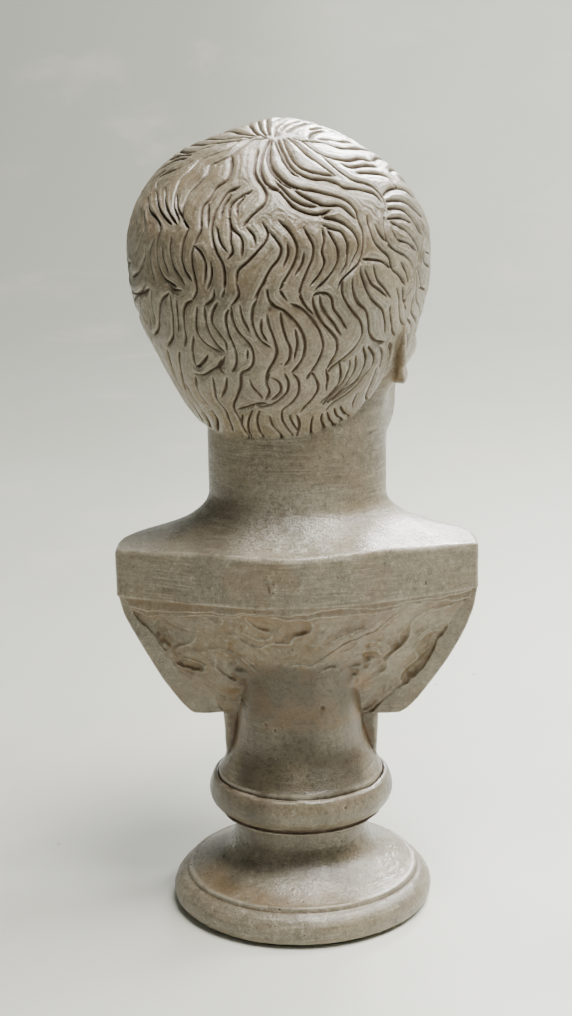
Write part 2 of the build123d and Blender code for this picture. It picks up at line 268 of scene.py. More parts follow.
def hollow(x, z):
    """Back face below the band: returns its y, how far inside the rims, and the height of the tool marks."""
    ax = np.abs(x)
    o = z * 0.0
    hw = np.interp(z, *T_HW)
    wob = 2.6 * noise3(x, o, z, 12.0, 5) + 1.1 * noise3(x, o, z, 4.0, 6) + 0.4 * noise3(x, o, z, 1.8, 7)
    inner = hw - np.interp(z, *T_RIMW) - ax + wob
    inner = np.minimum(inner, (z - 79.6) * 0.9 + 1.0 * noise3(x, o, z, 7.0, 9) + 0.5 * noise3(x, o, z, 2.5, 10) + np.clip(31.0 - ax, 0, 8) * 1.2)
    rim_y = np.interp(z, *T_RIM) + 0.22 * noise3(x, o, z, 8.0, 15) + 0.06 * noise3(x, o, z, 2.5, 16)
    span = np.maximum(hw - np.interp(z, *T_RIMW), 12.0)
    t = np.clip((span - ax) / span, 0.0, 1.0)
    low = rim_y - 1.0 - 1.2 * np.clip(0.5 + noise3(x, o, z, 9.0, 31), 0, 1)
    low = low + 1.0 * np.clip(1.0 - inner / 3.0, 0, 1)
    floor = low + (np.interp(z, *T_FLOOR) - low) * (1.0 - (1.0 - t) ** 1.7)
    # marks of a round-nosed tool, drawn out along two slanting directions that meet above the pillar
    wx = x + 4.0 * noise3(x, o, z, 15.0, 33)
    wz = z + 3.0 * noise3(x, o, z, 12.0, 34)
    wr = np.clip((x - 3.0) / 14.0, 0.0, 1.0)
    wl = np.clip((3.0 - x) / 14.0, 0.0, 1.0)
    ur, vr = 0.86 * wx + 0.50 * wz, -0.50 * wx + 0.86 * wz
    ul, vl = 0.86 * wx - 0.50 * wz, 0.50 * wx + 0.86 * wz
    g1 = wr * noise3(ur / 2.4, o, vr, 5.8, 11) + wl * noise3(ul / 2.4, o, vl, 5.8, 11) + (1.0 - wr - wl) * noise3(wx / 1.5, o, wz, 6.2, 21)
    g2 = wr * noise3(ur / 2.0, o + 7.0, vr, 3.0, 12) + wl * noise3(ul / 2.0, o + 7.0, vl, 3.0, 12)
    g3 = noise3(x, o, z, 1.5, 13)
    dent = 1.35 * g1 + 1.1 * noise3(x, o, z, 8.0, 17)
    ridge = 1.15 * np.maximum(0.0, 1.0 - np.abs(g1 + 0.15) * 3.6) ** 1.4 + 0.30 * np.maximum(0.0, 1.0 - np.abs(g2) * 3.2) ** 1.5
    gouge = dent + ridge + 0.26 * g2 + 0.20 * g3 - 0.35
    # crumbs where the pillar's arch was cut in
    arch = np.abs(np.sqrt((x * 0.95) ** 2 + np.minimum(108.0 - 0.0 * z - z, 24.0) ** 2 * 0.9) - 23.5)
    crumb = np.exp(-(arch / 3.6) ** 2) * np.clip((z - 84.0) / 6.0, 0, 1)
    gouge = gouge + crumb * (0.9 * noise3(x, o, z, 2.1, 18) + 0.9 * noise3(x, o, z, 4.2, 19))
    gouge = gouge * np.clip(inner / 3.0, 0.0, 1.0) * (0.35 + 0.65 * np.clip((122.0 - z) / 7.0, 0.0, 1.0))
    gouge = gouge - 0.35 * np.exp(-((inner - 0.6) / 0.6) ** 2) * np.clip(1.6 * noise3(x, o, z, 5.0, 24) - 0.1, 0, 1)
    y = np.where(inner > 0, floor + gouge, rim_y)
    # thin smeared ledges just below the band
    w1 = 2.2 + 1.3 * noise3(x, o, o, 13.0, 26) + 0.5 * noise3(x, o, o, 4.0, 27) + 1.6 * np.clip(x / 50.0, -0.6, 1)
    w2 = w1 + 2.0 + 1.5 * noise3(x, o, o, 16.0, 28) + 0.4 * noise3(x, o, o, 3.2, 29)
    wall = back_wall(x)
    l1 = wall - 0.75 - 6.0 * np.clip((127.0 - w1) - z, 0.0, None)
    l2 = wall - 1.9 - 3.2 * np.clip((127.0 - w2) - z, 0.0, None)
    y = np.where(inner > 0, np.maximum(np.maximum(y, l1), l2), y)
    y = np.minimum(y, wall - np.where(inner > 0, 0.7, 0.15))
    return y, inner, gouge


def torso_field(x, y, z):
    ax = np.abs(x)
    # upper part: shoulders with the upright band
    front_mix = np.clip((-6.0 - y) / 10.0, 0.0, 1.0)
    hw = 67.6 - 1.0 * np.clip((z - 143.6) / 3.0, 0, 4)
    yf = -50.6 + 0.28 * np.clip(z - 127.0, 0, 40)
    b = 2.0 - yf
    q = (np.abs(x / hw) ** 1.92 + np.abs(np.minimum(y - 2.0, 0.0) / b) ** 1.92) ** (1 / 1.92) + 1e-6
    rho = np.sqrt(x * x + np.minimum(y - 2.0, 0.0) ** 2) + 1e-6
    side = rho - rho / q
    wall = (y - back_wall(x) - 0.22 * noise3(x, y * 0, z, 13.0, 41)) * 0.93
    plan = smax(side, wall, 1.6)
    # top of the shoulders
    nd = (np.sqrt(((x + 0.4) / 33.6) ** 2 + ((y + 10.5) / 27.2) ** 2) - 1.0) * 30.0
    ndp = np.maximum(nd, 0.0)
    rise = 6.4 * np.exp(-ndp / 5.0) + 7.2 * np.clip(1 - ndp / 30.0, 0, 1) ** 1.3
    vee = -1.1 * np.exp(-((x - 3.0) / 22.0) ** 2) * np.clip((y - 14.0) / 16.0, 0, 1)
    ztop = 145.2 + rise + vee - 0.0050 * np.minimum(y + 2.0, 0.0) ** 2 - 0.010 * np.maximum(ax - 58.0, 0.0) ** 2
    ztop = ztop + 0.25 * noise3(x, y, z * 0, 12.0, 42)
    upper = smax(smax(plan, z - ztop, 1.3 + 9.0 * front_mix), 127.0 + 0.35 * noise3(x, y * 0, z * 0, 15.0, 43) - z, 0.5)
    # chest below the band
    hw2, yf2 = np.interp(z, *T_HW) - 0.8 * np.tanh(x / 12.0) * np.exp(-((z - 106.0) / 12.0) ** 2), np.interp(z, *T_FRONT)
    b2 = 2.0 - yf2
    yy = np.minimum(y - 2.0, 0.0)
    q2 = (np.abs(x / hw2) ** 1.96 + np.abs(yy / b2) ** 1.96) ** (1 / 1.96) + 1e-6
    rho2 = np.sqrt(x * x + yy * yy) + 1e-6
    side2 = (rho2 - rho2 / q2) * 0.93
    yb, inner, _ = hollow(x, z)
    lower = smax(side2, (y - yb) * 0.72, 0.45)
    lower = smax(lower, 76.5 + 0.02 * x + 0.45 * noise3(x, y, z * 0, 9.0, 44) + 0.2 * noise3(x, y, z * 0, 3.0, 45) - z, 1.0 + 5.0 * front_mix)
    lower = smax(smax(lower, z - 127.8 - 6.0 * front_mix, 0.4 + 3.0 * front_mix), z - ztop, 0.4 + 9.0 * front_mix)
    lower = smin(lower, ell(ax, y, z, (26.0, -34.0, 110.0), (25.0, 15.5, 20.0)), 10.0)
    f = smin(upper, lower, 0.6 + 9.0 * front_mix)
    f = smin(f, rod(ax, y, z, (7.0, -40.0, 142.0), (42.0, -24.5, 142.5), 3.0, 2.2), 5.5)
    f = smax(f, -ell(x, y, z, (0, -46.5, 148.0), (6.5, 6.0, 6.0)), 5.0)
    return f


def neck_field(x, y, z):
    cx, cy = -0.8 + 0.0 * z, -10.6 - 0.02 * (z - 150.0)
    a = 33.3 + 0.0 * z
    b = 27.0 - 0.02 * (z - 150.0)
    dx, dy = x - cx, y - cy
    q = np.sqrt((dx / a) ** 2 + (dy / b) ** 2) + 1e-6
    rho = np.sqrt(dx * dx + dy * dy)
    f = rho - rho / q
    f = smax(smax(f, 140.0 - z, 1.0), z - 214.0, 1.0)
    f = smin(f, rod(x, y, z, (27.0, -24.0, 196.0), (5.0, -37.0, 150.0), 6.0, 4.6), 6.0)
    f = smin(f, rod(x, y, z, (-23.0, -12.0, 196.0), (-5.0, -37.0, 150.0), 6.5, 4.6), 6.0)
    f = smin(f, ell(x, y, z, (-3.0, -36.5, 171.0), (5.5, 4.6, 7.5)), 6.0)
    return f


def base_field(x, y, z):
    r = np.interp(z, *PILLAR)
    r = r + 0.35 * noise3(x, y, z, 16.0, 3) + 0.10 * noise3(x, y, z, 5.0, 7)
    n = 2.0 + 0.7 * np.clip((z - 66.0) / 16.0, 0.0, 1.0)
    f = ((np.abs(x) + 1e-6) ** n + (np.abs(y) + 1e-6) ** n) ** (1.0 / n) - r + 0.5 * (n - 2.0)
    f = smax(smax(f, 51.0 - z, 0.5), z - 106.0, 1.0)
    stem = np.sqrt((x + 0.5) ** 2 + (y + 3.0) ** 2) - (29.8 + 0.5 * np.clip((z - 68.0) / 8.0, -1, 1) + 1.6 * np.clip((57.0 - z) / 5.0, 0, 1) + 0.2 * noise3(x, y, z, 7.0, 14))
    stem = smax(stem, y - 2.5 + 0.3 * noise3(x, y * 0, z, 6.0, 8), 1.6)
    stem = smax(smax(stem, z - 88.0, 1.0), 51.4 - z, 0.6)
    disc = smax(np.sqrt(x * x + y * y) - 31.45, z - 53.0 - 0.3 * noise3(x, y, z, 7.0, 4), 0.8)
    disc = smax(disc, 51.0 - z, 0.3)
    f = smin(smin(f, stem, 0.9), disc, 1.6)
    bore = smax(np.sqrt(x * x + y * y) - 9.0, z - 84.0, 0.3)
    return f, bore


def bust_field(x, y, z):
    skin, hair = head_field(x, y, z)
    neck = neck_field(x, y, z)
    torso = torso_field(x, y, z)
    base, bore = base_field(x, y, z)
    body = smin(torso, neck, 2.5 + 4.0 * np.clip((-10.0 - y) / 10.0, 0.0, 1.0))
    body = smin(body, base, 0.9)
    head = smin(skin, neck, 4.5)
    f = smin(body, head, 2.0)
    f = smin(f, hair, 0.8)
    return smax(f, -bore, 0.2)
# ---------------------------------------------------------------- from field to mesh
POOL = ThreadPoolExecutor(4)


def evaluate(field, x, y, z, chunk=60000):
    """Evaluate a field over flat arrays, in parallel chunks."""
    n = len(x)
    parts = list(POOL.map(lambda i: field(x[i:i + chunk], y[i:i + chunk], z[i:i + chunk]), range(0, n, chunk)))
    return np.concatenate(parts)


def surface(field, lo, hi, voxel, block=6):
    """Quads of the zero surface of the field, sampled only near the surface."""
    step = voxel * block
    n = [int(math.ceil((h - l) / step)) + 1 for l, h in zip(lo, hi)]
    cs = [l + step * (np.arange(m) + 0.5) for l, m in zip(lo, n)]
    cx, cy, cz = np.meshgrid(*cs, indexing="ij")
    c = np.stack([cx.ravel(), cy.ravel(), cz.ravel()], 1)
    f = evaluate(field, c[:, 0], c[:, 1], c[:, 2])
    near = np.abs(f) < step * 1.25 + 1.5
    vals = np.repeat(np.repeat(np.repeat(np.where(f.reshape(n) > 0, 3.0, -3.0).astype(np.float32), block, 0), block, 1), block, 2)
    idx = np.argwhere(near.reshape(n))
    off = np.stack(np.meshgrid(*[np.arange(block)] * 3, indexing="ij"), -1).reshape(-1, 3)
    fine = (idx[:, None, :] * block + off[None]).reshape(-1, 3)
    p = (np.asarray(lo) + voxel * (fine + 0.5)).astype(np.float32)
    g = evaluate(field, p[:, 0], p[:, 1], p[:, 2])
    vals[fine[:, 0], fine[:, 1], fine[:, 2]] = np.clip(g, -3.0, 3.0)
    grid = openvdb.FloatGrid(3.0)
    grid.copyFromArray(vals)
    pts, quads = grid.convertToQuads(isovalue=0.0)
    pts = np.asarray(lo) + voxel * (np.asarray(pts, float) + 0.5)
    return pts, np.asarray(quads, np.int64)


def gradient(field, p, e=0.12):
    k = np.array([[1, -1, -1], [-1, -1, 1], [-1, 1, -1], [1, 1, 1]], float)
    g = np.zeros_like(p)
    for d in k:
        q = p + d * e
        g += evaluate(field, q[:, 0], q[:, 1], q[:, 2])[:, None] * d
    return g / (4 * e)


def settle(field, p, rounds=2, cap=0.35):
    """Move points onto the true surface."""
    for _ in range(rounds):
        f = evaluate(field, p[:, 0], p[:, 1], p[:, 2])
        g = gradient(field, p)
        m = f[:, None] * g / np.maximum((g * g).sum(1), 0.15)[:, None]
        d = np.linalg.norm(m, axis=1)[:, None]
        p = p - m * np.minimum(1.0, cap / np.maximum(d, 1e-9))
    return p


def mesh_object(name, pts_mm, faces):
    me = bpy.data.meshes.new(name)
    me.from_pydata((np.asarray(pts_mm) * MM).tolist(), [], faces if isinstance(faces, list) else faces.tolist())
    me.validate()
    me.polygons.foreach_set("use_smooth", [True] * len(me.polygons))
    me.update()
    ob = bpy.data.objects.new(name, me)
    bpy.context.scene.collection.objects.link(ob)
    return ob


def largest_piece(n, quads):
    """Keep the faces of the largest connected piece, so that no stray crumbs stay."""
    lab = np.arange(n)
    e = np.concatenate([quads[:, [0, 1]], quads[:, [1, 2]], quads[:, [2, 3]], quads[:, [3, 0]]])
    while True:
        m = np.minimum(lab[e[:, 0]], lab[e[:, 1]])
        new = lab.copy()
        np.minimum.at(new, e[:, 0], m)
        np.minimum.at(new, e[:, 1], m)
        new = new[new]
        if (new == lab).all():
            break
        lab = new
    ids, counts = np.unique(lab, return_counts=True)
    keep = lab == ids[counts.argmax()]
    remap = np.cumsum(keep) - 1
    return keep, remap[quads[keep[quads[:, 0]]]]
# ---------------------------------------------------------------- hair: carved lines between the locks
# Each line is a run of directions from the middle of the skull, in degrees to the left and up, about straight back.
CARVED = [
    "30.6,70.3 16.8,66.4 9.4,66.0 3.2,66.2 -2.9,66.0",
    "23.3,76.7 9.0,70.5 1.0,68.0 -5.0,67.0",
    "34.9,66.1 21.5,62.4 16.0,62.8 6.1,63.3 -1.6,65.0",
    "38.0,61.9 24.9,57.5 18.5,59.2 14.3,60.7",
    "40.6,57.3 30.5,56.6 21.9,55.7",
    "39.9,49.2 35.6,51.9 30.1,53.8 22.7,53.9",
    "45.5,46.7 43.7,50.2 35.2,53.0",
    "-2.9,66.0 2.2,63.8 5.6,58.0 10.4,55.2 14.6,52.1 15.9,46.7 17.7,42.3 17.4,37.7 16.0,33.1 14.0,30.2 11.5,27.3",
    "-8.5,65.0 -2.7,63.7 -0.9,59.6 1.4,54.1 4.9,51.1 7.7,49.1 7.1,45.4 8.6,41.6 10.9,37.4 11.4,32.6 10.6,28.5 7.3,25.0",
    "7.3,24.7 8.6,21.5 9.1,18.5 9.3,15.5 7.9,11.9 5.7,9.1",
    "0.9,53.1 -1.6,47.6 -1.9,42.7 1.0,39.5 2.2,35.3 3.8,32.2 3.7,28.9 2.8,25.0 3.7,22.1 4.6,19.7",
    "4.6,19.7 5.4,16.8 5.1,13.1 4.2,8.8 4.0,5.7 5.9,2.7",
    "4.6,19.7 2.4,18.0 1.0,16.0 0.4,13.3 0.9,8.3",
    "-7.2,39.7 -3.6,37.7 -2.0,33.6 -1.1,30.2 -0.9,25.7 -1.9,21.4 -3.5,17.8 -5.5,14.6 -6.2,11.0 -6.0,6.6",
    "-11.7,38.3 -9.1,36.4 -6.2,33.0 -6.4,29.0 -7.7,25.5 -10.9,22.8 -11.8,20.1 -11.7,16.5",
    "-6.4,29.0 -7.4,24.9 -7.9,21.2 -8.8,18.2 -7.2,15.9",
    "-7.7,57.4 -9.0,51.9 -10.2,47.1 -12.0,43.7 -14.8,40.6 -16.8,37.5 -16.9,33.9 -15.1,31.4 -13.0,28.9 -11.2,25.9",
    "-9.6,64.5 -10.3,57.6 -11.2,52.0 -12.5,46.8 -15.0,42.6 -17.5,40.5 -20.7,39.6",
    "-10.7,63.9 -11.9,57.7 -13.3,52.3 -16.2,47.3 -19.6,43.6 -23.7,41.2 -27.2,40.5",
    "-17.3,27.5 -19.2,24.7 -18.9,21.6 -16.4,18.2 -13.3,15.1 -10.5,12.3 -10.1,8.9",
    "-19.8,24.7 -22.2,22.3 -24.0,19.4 -23.3,16.3 -20.9,13.2 -19.1,9.6 -17.6,6.8 -15.9,3.8",
    "32.6,36.5 28.3,31.8 22.3,28.3 19.5,25.1 20.1,21.5 20.7,17.2 20.0,13.1 17.3,9.3 12.0,7.0",
    "47.4,40.6 48.7,35.1 47.8,28.0 43.2,22.6",
    "45.3,46.8 48.0,38.6 45.4,30.9 42.0,23.9",
    "31.4,30.7 29.0,25.1 31.6,20.9 35.2,16.7",
    "27.2,19.1 28.2,15.9 33.2,11.1 39.4,9.1",
    "13.6,22.1 14.2,18.4 13.2,13.9 10.8,10.5 8.5,7.7",
    "23.5,39.5 21.0,34.9 17.3,30.4 12.4,26.3",
    "28.7,38.9 25.9,35.3 20.2,29.9 14.7,26.3",
    "28.9,6.8 33.2,4.0 48.0,-0.7",
    "-3.5,81.0 -2.3,87.1 -4.5,90.4",
    "-10.5,72.2 -10.3,78.5 -11.8,84.3 -10.8,93.1",
    "-13.6,71.1 -14.0,76.6 -15.6,81.5 -16.6,89.2",
    "-24.3,69.3 -23.7,75.5 -24.9,80.5 -27.2,85.6",
    "-21.4,79.1 -23.1,85.3 -24.4,90.4",
    "-27.5,71.7 -31.2,75.4 -36.6,77.5 -42.8,85.0",
    "-21.2,66.8 -25.9,68.2 -29.8,70.0 -33.4,69.9 -38.8,70.8 -45.6,77.7 -53.2,92.2",
    "-17.5,67.9 -22.2,66.3 -27.3,62.7 -32.3,60.2 -38.1,60.4 -43.6,62.7 -48.6,67.9 -54.4,70.5",
    "-32.5,59.1 -36.2,56.0 -39.4,53.5 -42.9,51.3 -46.3,50.1 -51.7,50.3 -55.9,49.2 -59.4,46.1 -61.5,41.6 -60.7,36.9",
    "-40.5,58.0 -44.0,57.5 -48.4,60.7 -53.3,64.8 -57.8,67.2",
    "-47.3,55.0 -53.3,58.3 -59.3,61.1 -63.6,61.1 -66.4,57.7 -69.7,56.8",
    "-15.5,67.4 -21.2,62.8 -26.4,58.1 -31.3,54.8 -35.6,52.1 -39.0,49.9",
    "-14.3,66.2 -18.7,59.2 -23.0,52.9 -27.4,49.7 -33.0,49.1 -39.3,49.9",
    "-12.7,64.9 -17.1,58.2 -21.5,51.6 -25.3,47.7 -30.2,46.0 -35.5,46.8 -39.7,46.3 -42.5,45.0 -46.6,45.6 -51.7,46.3 -56.4,45.5 -59.9,42.4",
    "-12.1,63.4 -16.2,57.3 -19.6,52.2 -23.1,47.8 -26.0,45.5",
    "-12.1,59.1 -13.7,53.5 -16.2,48.6 -19.6,44.9 -23.2,42.3 -27.2,40.9 -31.6,40.9 -36.6,40.5 -41.4,39.9 -45.3,38.4 -48.3,35.5 -49.4,32.1 -51.3,28.4 -51.9,23.9 -52.0,19.5 -50.9,15.8 -48.3,13.1 -45.1,9.8 -43.7,6.5",
    "-16.6,40.0 -20.4,39.3 -23.3,36.4 -26.2,33.7 -30.7,32.0 -35.4,32.2 -38.6,34.0",
    "-18.6,43.1 -22.4,39.4 -25.5,36.6 -29.4,34.9 -33.7,34.6",
    "-25.3,40.2 -28.2,38.5 -31.8,36.9 -35.3,35.7 -38.1,35.8 -41.7,36.4 -45.2,34.8 -48.2,32.3",
    "-35.8,31.2 -39.6,31.1 -43.3,30.2 -46.9,28.0 -49.6,24.4 -50.1,20.9 -48.7,17.2 -47.4,14.5",
    "-36.4,28.6 -39.6,27.5 -42.9,26.8 -45.3,23.5 -46.2,19.8 -46.1,15.6 -44.5,11.9",
    "-37.9,27.7 -39.8,24.7 -42.1,21.1 -42.9,16.8 -41.5,13.0 -38.8,9.4 -35.8,6.7",
    "-36.5,27.2 -37.5,23.1 -37.2,19.2 -38.4,15.6 -37.0,11.8 -34.1,8.1",
    "-30.3,26.9 -32.5,23.7 -34.1,20.6 -34.2,16.8 -32.8,12.8 -31.1,8.1 -30.5,4.7",
    "-22.2,28.5 -24.9,26.4 -27.4,23.3 -28.9,19.9 -28.7,16.2 -27.0,12.3 -25.2,9.1 -24.3,6.5",
    "-52.7,34.5 -54.2,29.7 -56.4,24.8 -60.5,21.9 -64.8,19.5 -67.4,14.8 -72.2,11.7 -76.6,7.1",
    "-60.7,36.5 -61.0,30.2 -62.8,25.4 -67.8,22.6 -75.1,20.9 -80.7,17.9 -83.3,11.6 -83.2,5.0",
    "-63.8,34.9 -68.6,33.7 -74.8,31.8 -81.5,28.4 -86.2,23.8 -85.9,17.1 -90.9,9.0 -96.0,2.1",
    "-65.1,30.6 -69.0,27.3 -76.0,26.8 -83.3,24.5",
    "-62.1,40.5 -70.0,43.4 -76.6,41.8 -82.5,37.3 -87.2,34.1",
    "-62.2,35.7 -69.9,38.2 -77.2,37.6",
    "-61.5,44.2 -66.2,47.0 -72.3,49.0 -79.8,48.6 -89.1,46.0",
    "-60.4,47.0 -63.5,52.0 -68.9,56.2 -76.0,59.2 -83.7,58.7",
    "-52.3,17.7 -55.9,17.8 -61.9,17.3 -66.8,14.4",
    "-51.9,14.7 -52.7,11.7 -55.3,6.1 -59.2,1.1 -64.9,-3.8 -67.5,-9.9 -68.1,-16.5",
    "-49.0,10.5 -49.7,5.9 -52.3,1.0 -56.4,-2.9 -58.4,-8.3 -59.3,-13.9 -62.8,-19.2 -68.6,-22.0",
    "-53.6,14.4 -57.4,8.4 -62.3,5.2 -66.2,2.2",
    "-57.6,15.7 -60.3,10.0 -64.4,6.0 -68.7,1.4",
    "-45.4,9.8 -45.4,5.7 -47.2,1.8 -50.5,-2.6 -54.4,-7.5 -55.7,-12.5 -54.4,-17.0 -50.7,-21.1 -46.5,-23.8 -42.0,-26.4 -39.8,-28.7",
    "-34.9,4.2 -35.7,0.3 -38.4,-5.3 -42.2,-10.2 -44.4,-14.1 -44.3,-19.2 -42.3,-23.1 -39.8,-26.8",
    "-34.9,4.2 -36.6,5.4 -39.8,5.2 -41.7,3.3 -42.7,-0.6 -45.7,-4.9 -48.3,-9.5",
    "-37.3,4.5 -38.2,0.8 -40.5,-3.1 -43.4,-7.1 -45.8,-11.8",
    "-30.4,7.4 -30.9,4.0 -33.0,0.4 -35.4,-2.3",
    "-20.1,6.8 -20.4,3.8 -22.3,1.4 -25.2,-0.3 -27.5,-2.6 -29.9,-5.7 -31.8,-10.1 -32.3,-14.6 -31.2,-19.2 -28.7,-22.8 -26.2,-25.1",
    "-24.2,-1.0 -24.7,-5.7 -25.8,-11.1 -26.9,-14.8 -26.1,-19.4 -24.1,-21.7",
    "-25.2,8.7 -24.3,6.5 -25.3,4.5 -26.3,3.1",
    "-75.3,6.2 -78.3,-0.4 -82.8,-7.6",
    "-83.2,5.0 -80.6,0.9 -80.2,-4.1",
    "-92.5,3.9 -101.8,1.1",
    "-69.4,-2.6 -71.3,-9.8 -73.6,-17.3 -76.4,-21.5",
    "-59.1,-21.1 -62.6,-27.8 -61.8,-32.9 -57.6,-36.3 -52.3,-40.3 -46.3,-43.0 -39.9,-44.8 -36.3,-47.2",
    "-56.5,-20.3 -58.1,-27.6 -56.2,-33.1 -52.1,-37.7 -45.4,-40.2 -39.3,-43.5",
    "-53.0,-24.5 -52.6,-30.4 -48.3,-36.3 -42.9,-40.6 -37.1,-43.6",
    "-50.1,-25.5 -49.9,-29.1 -46.5,-35.0 -40.9,-39.7 -35.3,-43.9",
    "-45.2,-23.9 -45.7,-30.2 -44.3,-35.1 -40.0,-39.3 -34.7,-42.6",
    "-39.5,-26.6 -39.8,-31.8 -38.3,-36.9",
    "-33.4,-26.0 -35.1,-30.3 -35.3,-34.9 -33.0,-38.6 -29.1,-42.0 -26.2,-44.4",
    "-26.5,-25.6 -28.2,-29.5 -27.3,-35.1 -24.3,-38.7 -19.4,-41.6",
    "-23.6,-25.1 -24.5,-29.2 -23.2,-33.6 -18.9,-37.1 -13.9,-38.8 -10.2,-38.1",
    "-18.2,-24.8 -16.5,-28.6 -16.8,-32.6 -14.7,-35.6",
    "-14.1,-43.9 -13.7,-49.2 -14.9,-54.4 -15.3,-59.2",
    "-19.6,-41.6 -18.4,-46.7 -18.9,-52.2 -19.9,-57.0",
    "-24.5,-45.5 -24.1,-51.2 -21.1,-57.7",
    "-30.6,-48.0 -28.4,-53.4 -26.4,-60.6",
    "-34.4,-48.1 -33.1,-52.4 -33.4,-57.5 -35.2,-61.0",
    "-36.5,-48.5 -36.7,-55.0 -39.1,-60.4",
    "-39.7,-47.8 -40.0,-53.1 -42.2,-58.0",
    "-42.5,-48.0 -43.3,-53.1 -45.7,-57.6",
    "-20.7,-62.4 -25.3,-64.1 -30.1,-62.8",
    "15.9,7.8 13.8,5.9 10.0,5.8",
    "31.3,-12.6 27.0,-9.7 24.2,-4.7 21.9,-0.1 19.4,2.6 15.9,4.5",
    "15.5,4.2 15.8,0.1 16.6,-5.3 18.2,-11.2 23.4,-16.0",
    "5.9,2.7 8.9,1.2 10.6,-1.6 11.4,-6.3 11.6,-10.8 13.1,-14.4",
    "4.4,0.7 5.7,-3.4 6.2,-8.1 4.4,-11.7 1.1,-14.5 -2.1,-15.9",
    "1.6,0.8 2.0,-4.7 1.2,-8.9 -0.8,-12.9 -3.3,-15.6",
    "-3.3,2.3 -1.1,-1.1 -0.3,-4.6 -2.0,-8.0 -4.1,-11.6 -4.2,-15.1",
    "-7.0,0.1 -5.6,-2.7 -5.7,-7.9 -6.9,-12.3 -7.4,-16.6 -6.5,-20.7 -4.3,-23.6",
    "-7.8,1.1 -7.9,-3.3 -9.3,-7.6 -12.0,-11.2 -13.5,-14.3 -13.4,-18.7 -11.3,-22.3 -8.0,-24.0 -6.5,-29.5 -3.7,-34.4 -1.0,-39.2 -1.5,-45.2 -0.9,-51.3 -0.8,-58.5",
    "-12.0,-14.2 -11.1,-18.2",
    "-16.5,3.2 -15.1,0.2 -14.6,-4.3 -15.7,-8.7 -17.5,-11.7 -20.0,-13.6",
    "-19.8,10.0 -17.6,6.8 -16.5,3.5",
    "-19.8,6.8 -20.9,2.5 -23.9,0.0",
    "-19.7,-1.6 -20.3,-5.9 -21.4,-10.0 -22.1,-15.2 -20.8,-19.2 -18.1,-23.2 -16.2,-28.1",
    "24.7,-17.6 26.8,-24.0 27.5,-32.0 25.5,-37.3",
    "16.7,-17.0 19.3,-21.7 20.9,-28.9 22.4,-36.1",
    "7.8,-10.0 9.9,-15.2 10.5,-20.7 9.1,-22.1 5.5,-19.2 3.7,-17.0",
    "12.0,-25.5 8.4,-25.9 3.2,-23.1 -0.6,-20.9 -2.9,-17.5",
    "12.1,-26.8 13.6,-32.1 12.8,-36.5 10.6,-39.9",
    "4.0,-26.2 4.8,-31.0 5.4,-36.5 3.4,-40.9 3.7,-47.3 5.0,-53.4",
    "-1.9,-25.7 -0.4,-30.1 2.6,-34.7",
    "-10.5,-26.6 -11.0,-30.0 -12.9,-33.3 -13.6,-35.1",
    "-2.4,-40.1 -6.9,-38.6 -12.0,-37.2 -15.7,-37.8",
    "-8.4,-40.4 -5.0,-46.0 -2.7,-51.8 -2.0,-56.8",
    "-11.1,-40.6 -8.7,-45.5 -7.4,-51.2 -7.6,-58.2",
    "17.1,-43.9 16.7,-49.4 20.5,-58.1",
    "10.1,-42.2 10.1,-47.6 14.5,-56.1",
    "35.4,2.0 37.3,-3.3 35.1,-7.8 37.6,-17.7",
    "25.1,5.3 27.2,0.9 27.5,-5.9",
    "31.1,1.3 31.2,-3.6 31.4,-8.4",
    "-2.6,6.5 -1.6,3.3 1.5,1.2",
    "-10.1,8.6 -10.7,4.8 -8.1,1.4",
    "-6.0,6.6 -4.9,3.7",
    "-27.6,2.0 -31.6,-0.2 -35.1,-4.2 -38.0,-9.7 -39.0,-15.8 -37.2,-21.3 -34.1,-25.7 -31.4,-28.9",
    "-7.5,67.2 -2.5,71.8 6.0,81.7",
    "-8.3,67.4 -4.2,73.9 3.2,84.6",
    "-7.4,65.6 -0.7,70.1 8.2,78.1",
    "-10.7,66.9 -7.7,74.4 -7.9,80.3",
    "-96.9,37.4 -91.0,26.9 -94.3,20.0 -105.6,16.7",
    "-105.0,41.6 -109.0,34.1 -112.4,24.1",
    "-55.0,71.3 -58.7,82.4 -63.0,88.1",
    "-64.7,68.4 -69.6,78.6 -74.9,80.7",
    "48.5,6.3 40.0,2.7 32.5,3.4 26.3,5.6",
    "-0.1,6.4 -1.7,10.9 -1.4,15.1",
    "21.8,21.6 24.6,17.8 24.5,13.3 22.8,8.8",
    "17.5,19.6 17.7,16.0 15.6,11.6",
    "-2.7,25.4 -4.4,21.1 -6.8,18.2",
    "-12.5,25.7 -15.0,23.3 -15.9,20.3",
    "-25.7,21.6 -26.3,17.9 -25.0,13.9",
    "-31.3,19.1 -31.0,15.3 -29.0,11.4",
    "-10.1,36.4 -8.4,32.7 -9.0,29.4",
    "-5.1,36.2 -3.6,32.6 -3.5,28.6",
    "-17.8,-3.3 -17.5,-7.6 -19.2,-11.4",
    "-29.1,-7.5 -29.5,-13.5 -27.9,-19.6",
    "-18.7,-26.2 -21.2,-29.2 -20.8,-33.1 -16.9,-35.9",
    "-3.7,-42.5 -1.2,-48.5 -0.8,-54.6",
    "-21.7,-44.6 -21.7,-49.3 -22.5,-55.1",
    "15.9,36.5 13.7,31.9 10.3,27.8",
    "1.8,32.9 1.2,29.2 0.4,25.4",
    "13.0,2.6 13.7,-2.6 14.4,-8.8",
    "36.3,-44.4 34.0,-49.3 31.9,-53.5",
    "19.9,-31.8 19.0,-37.4 17.0,-41.7",
    "-10.9,1.5 -11.5,-3.3 -13.4,-7.6",
    "-1.6,-18.4 0.4,-21.7 -1.1,-24.1",
    "-46.2,23.3 -45.7,18.7",
    "-56.4,31.4 -59.0,27.7 -62.9,25.0",
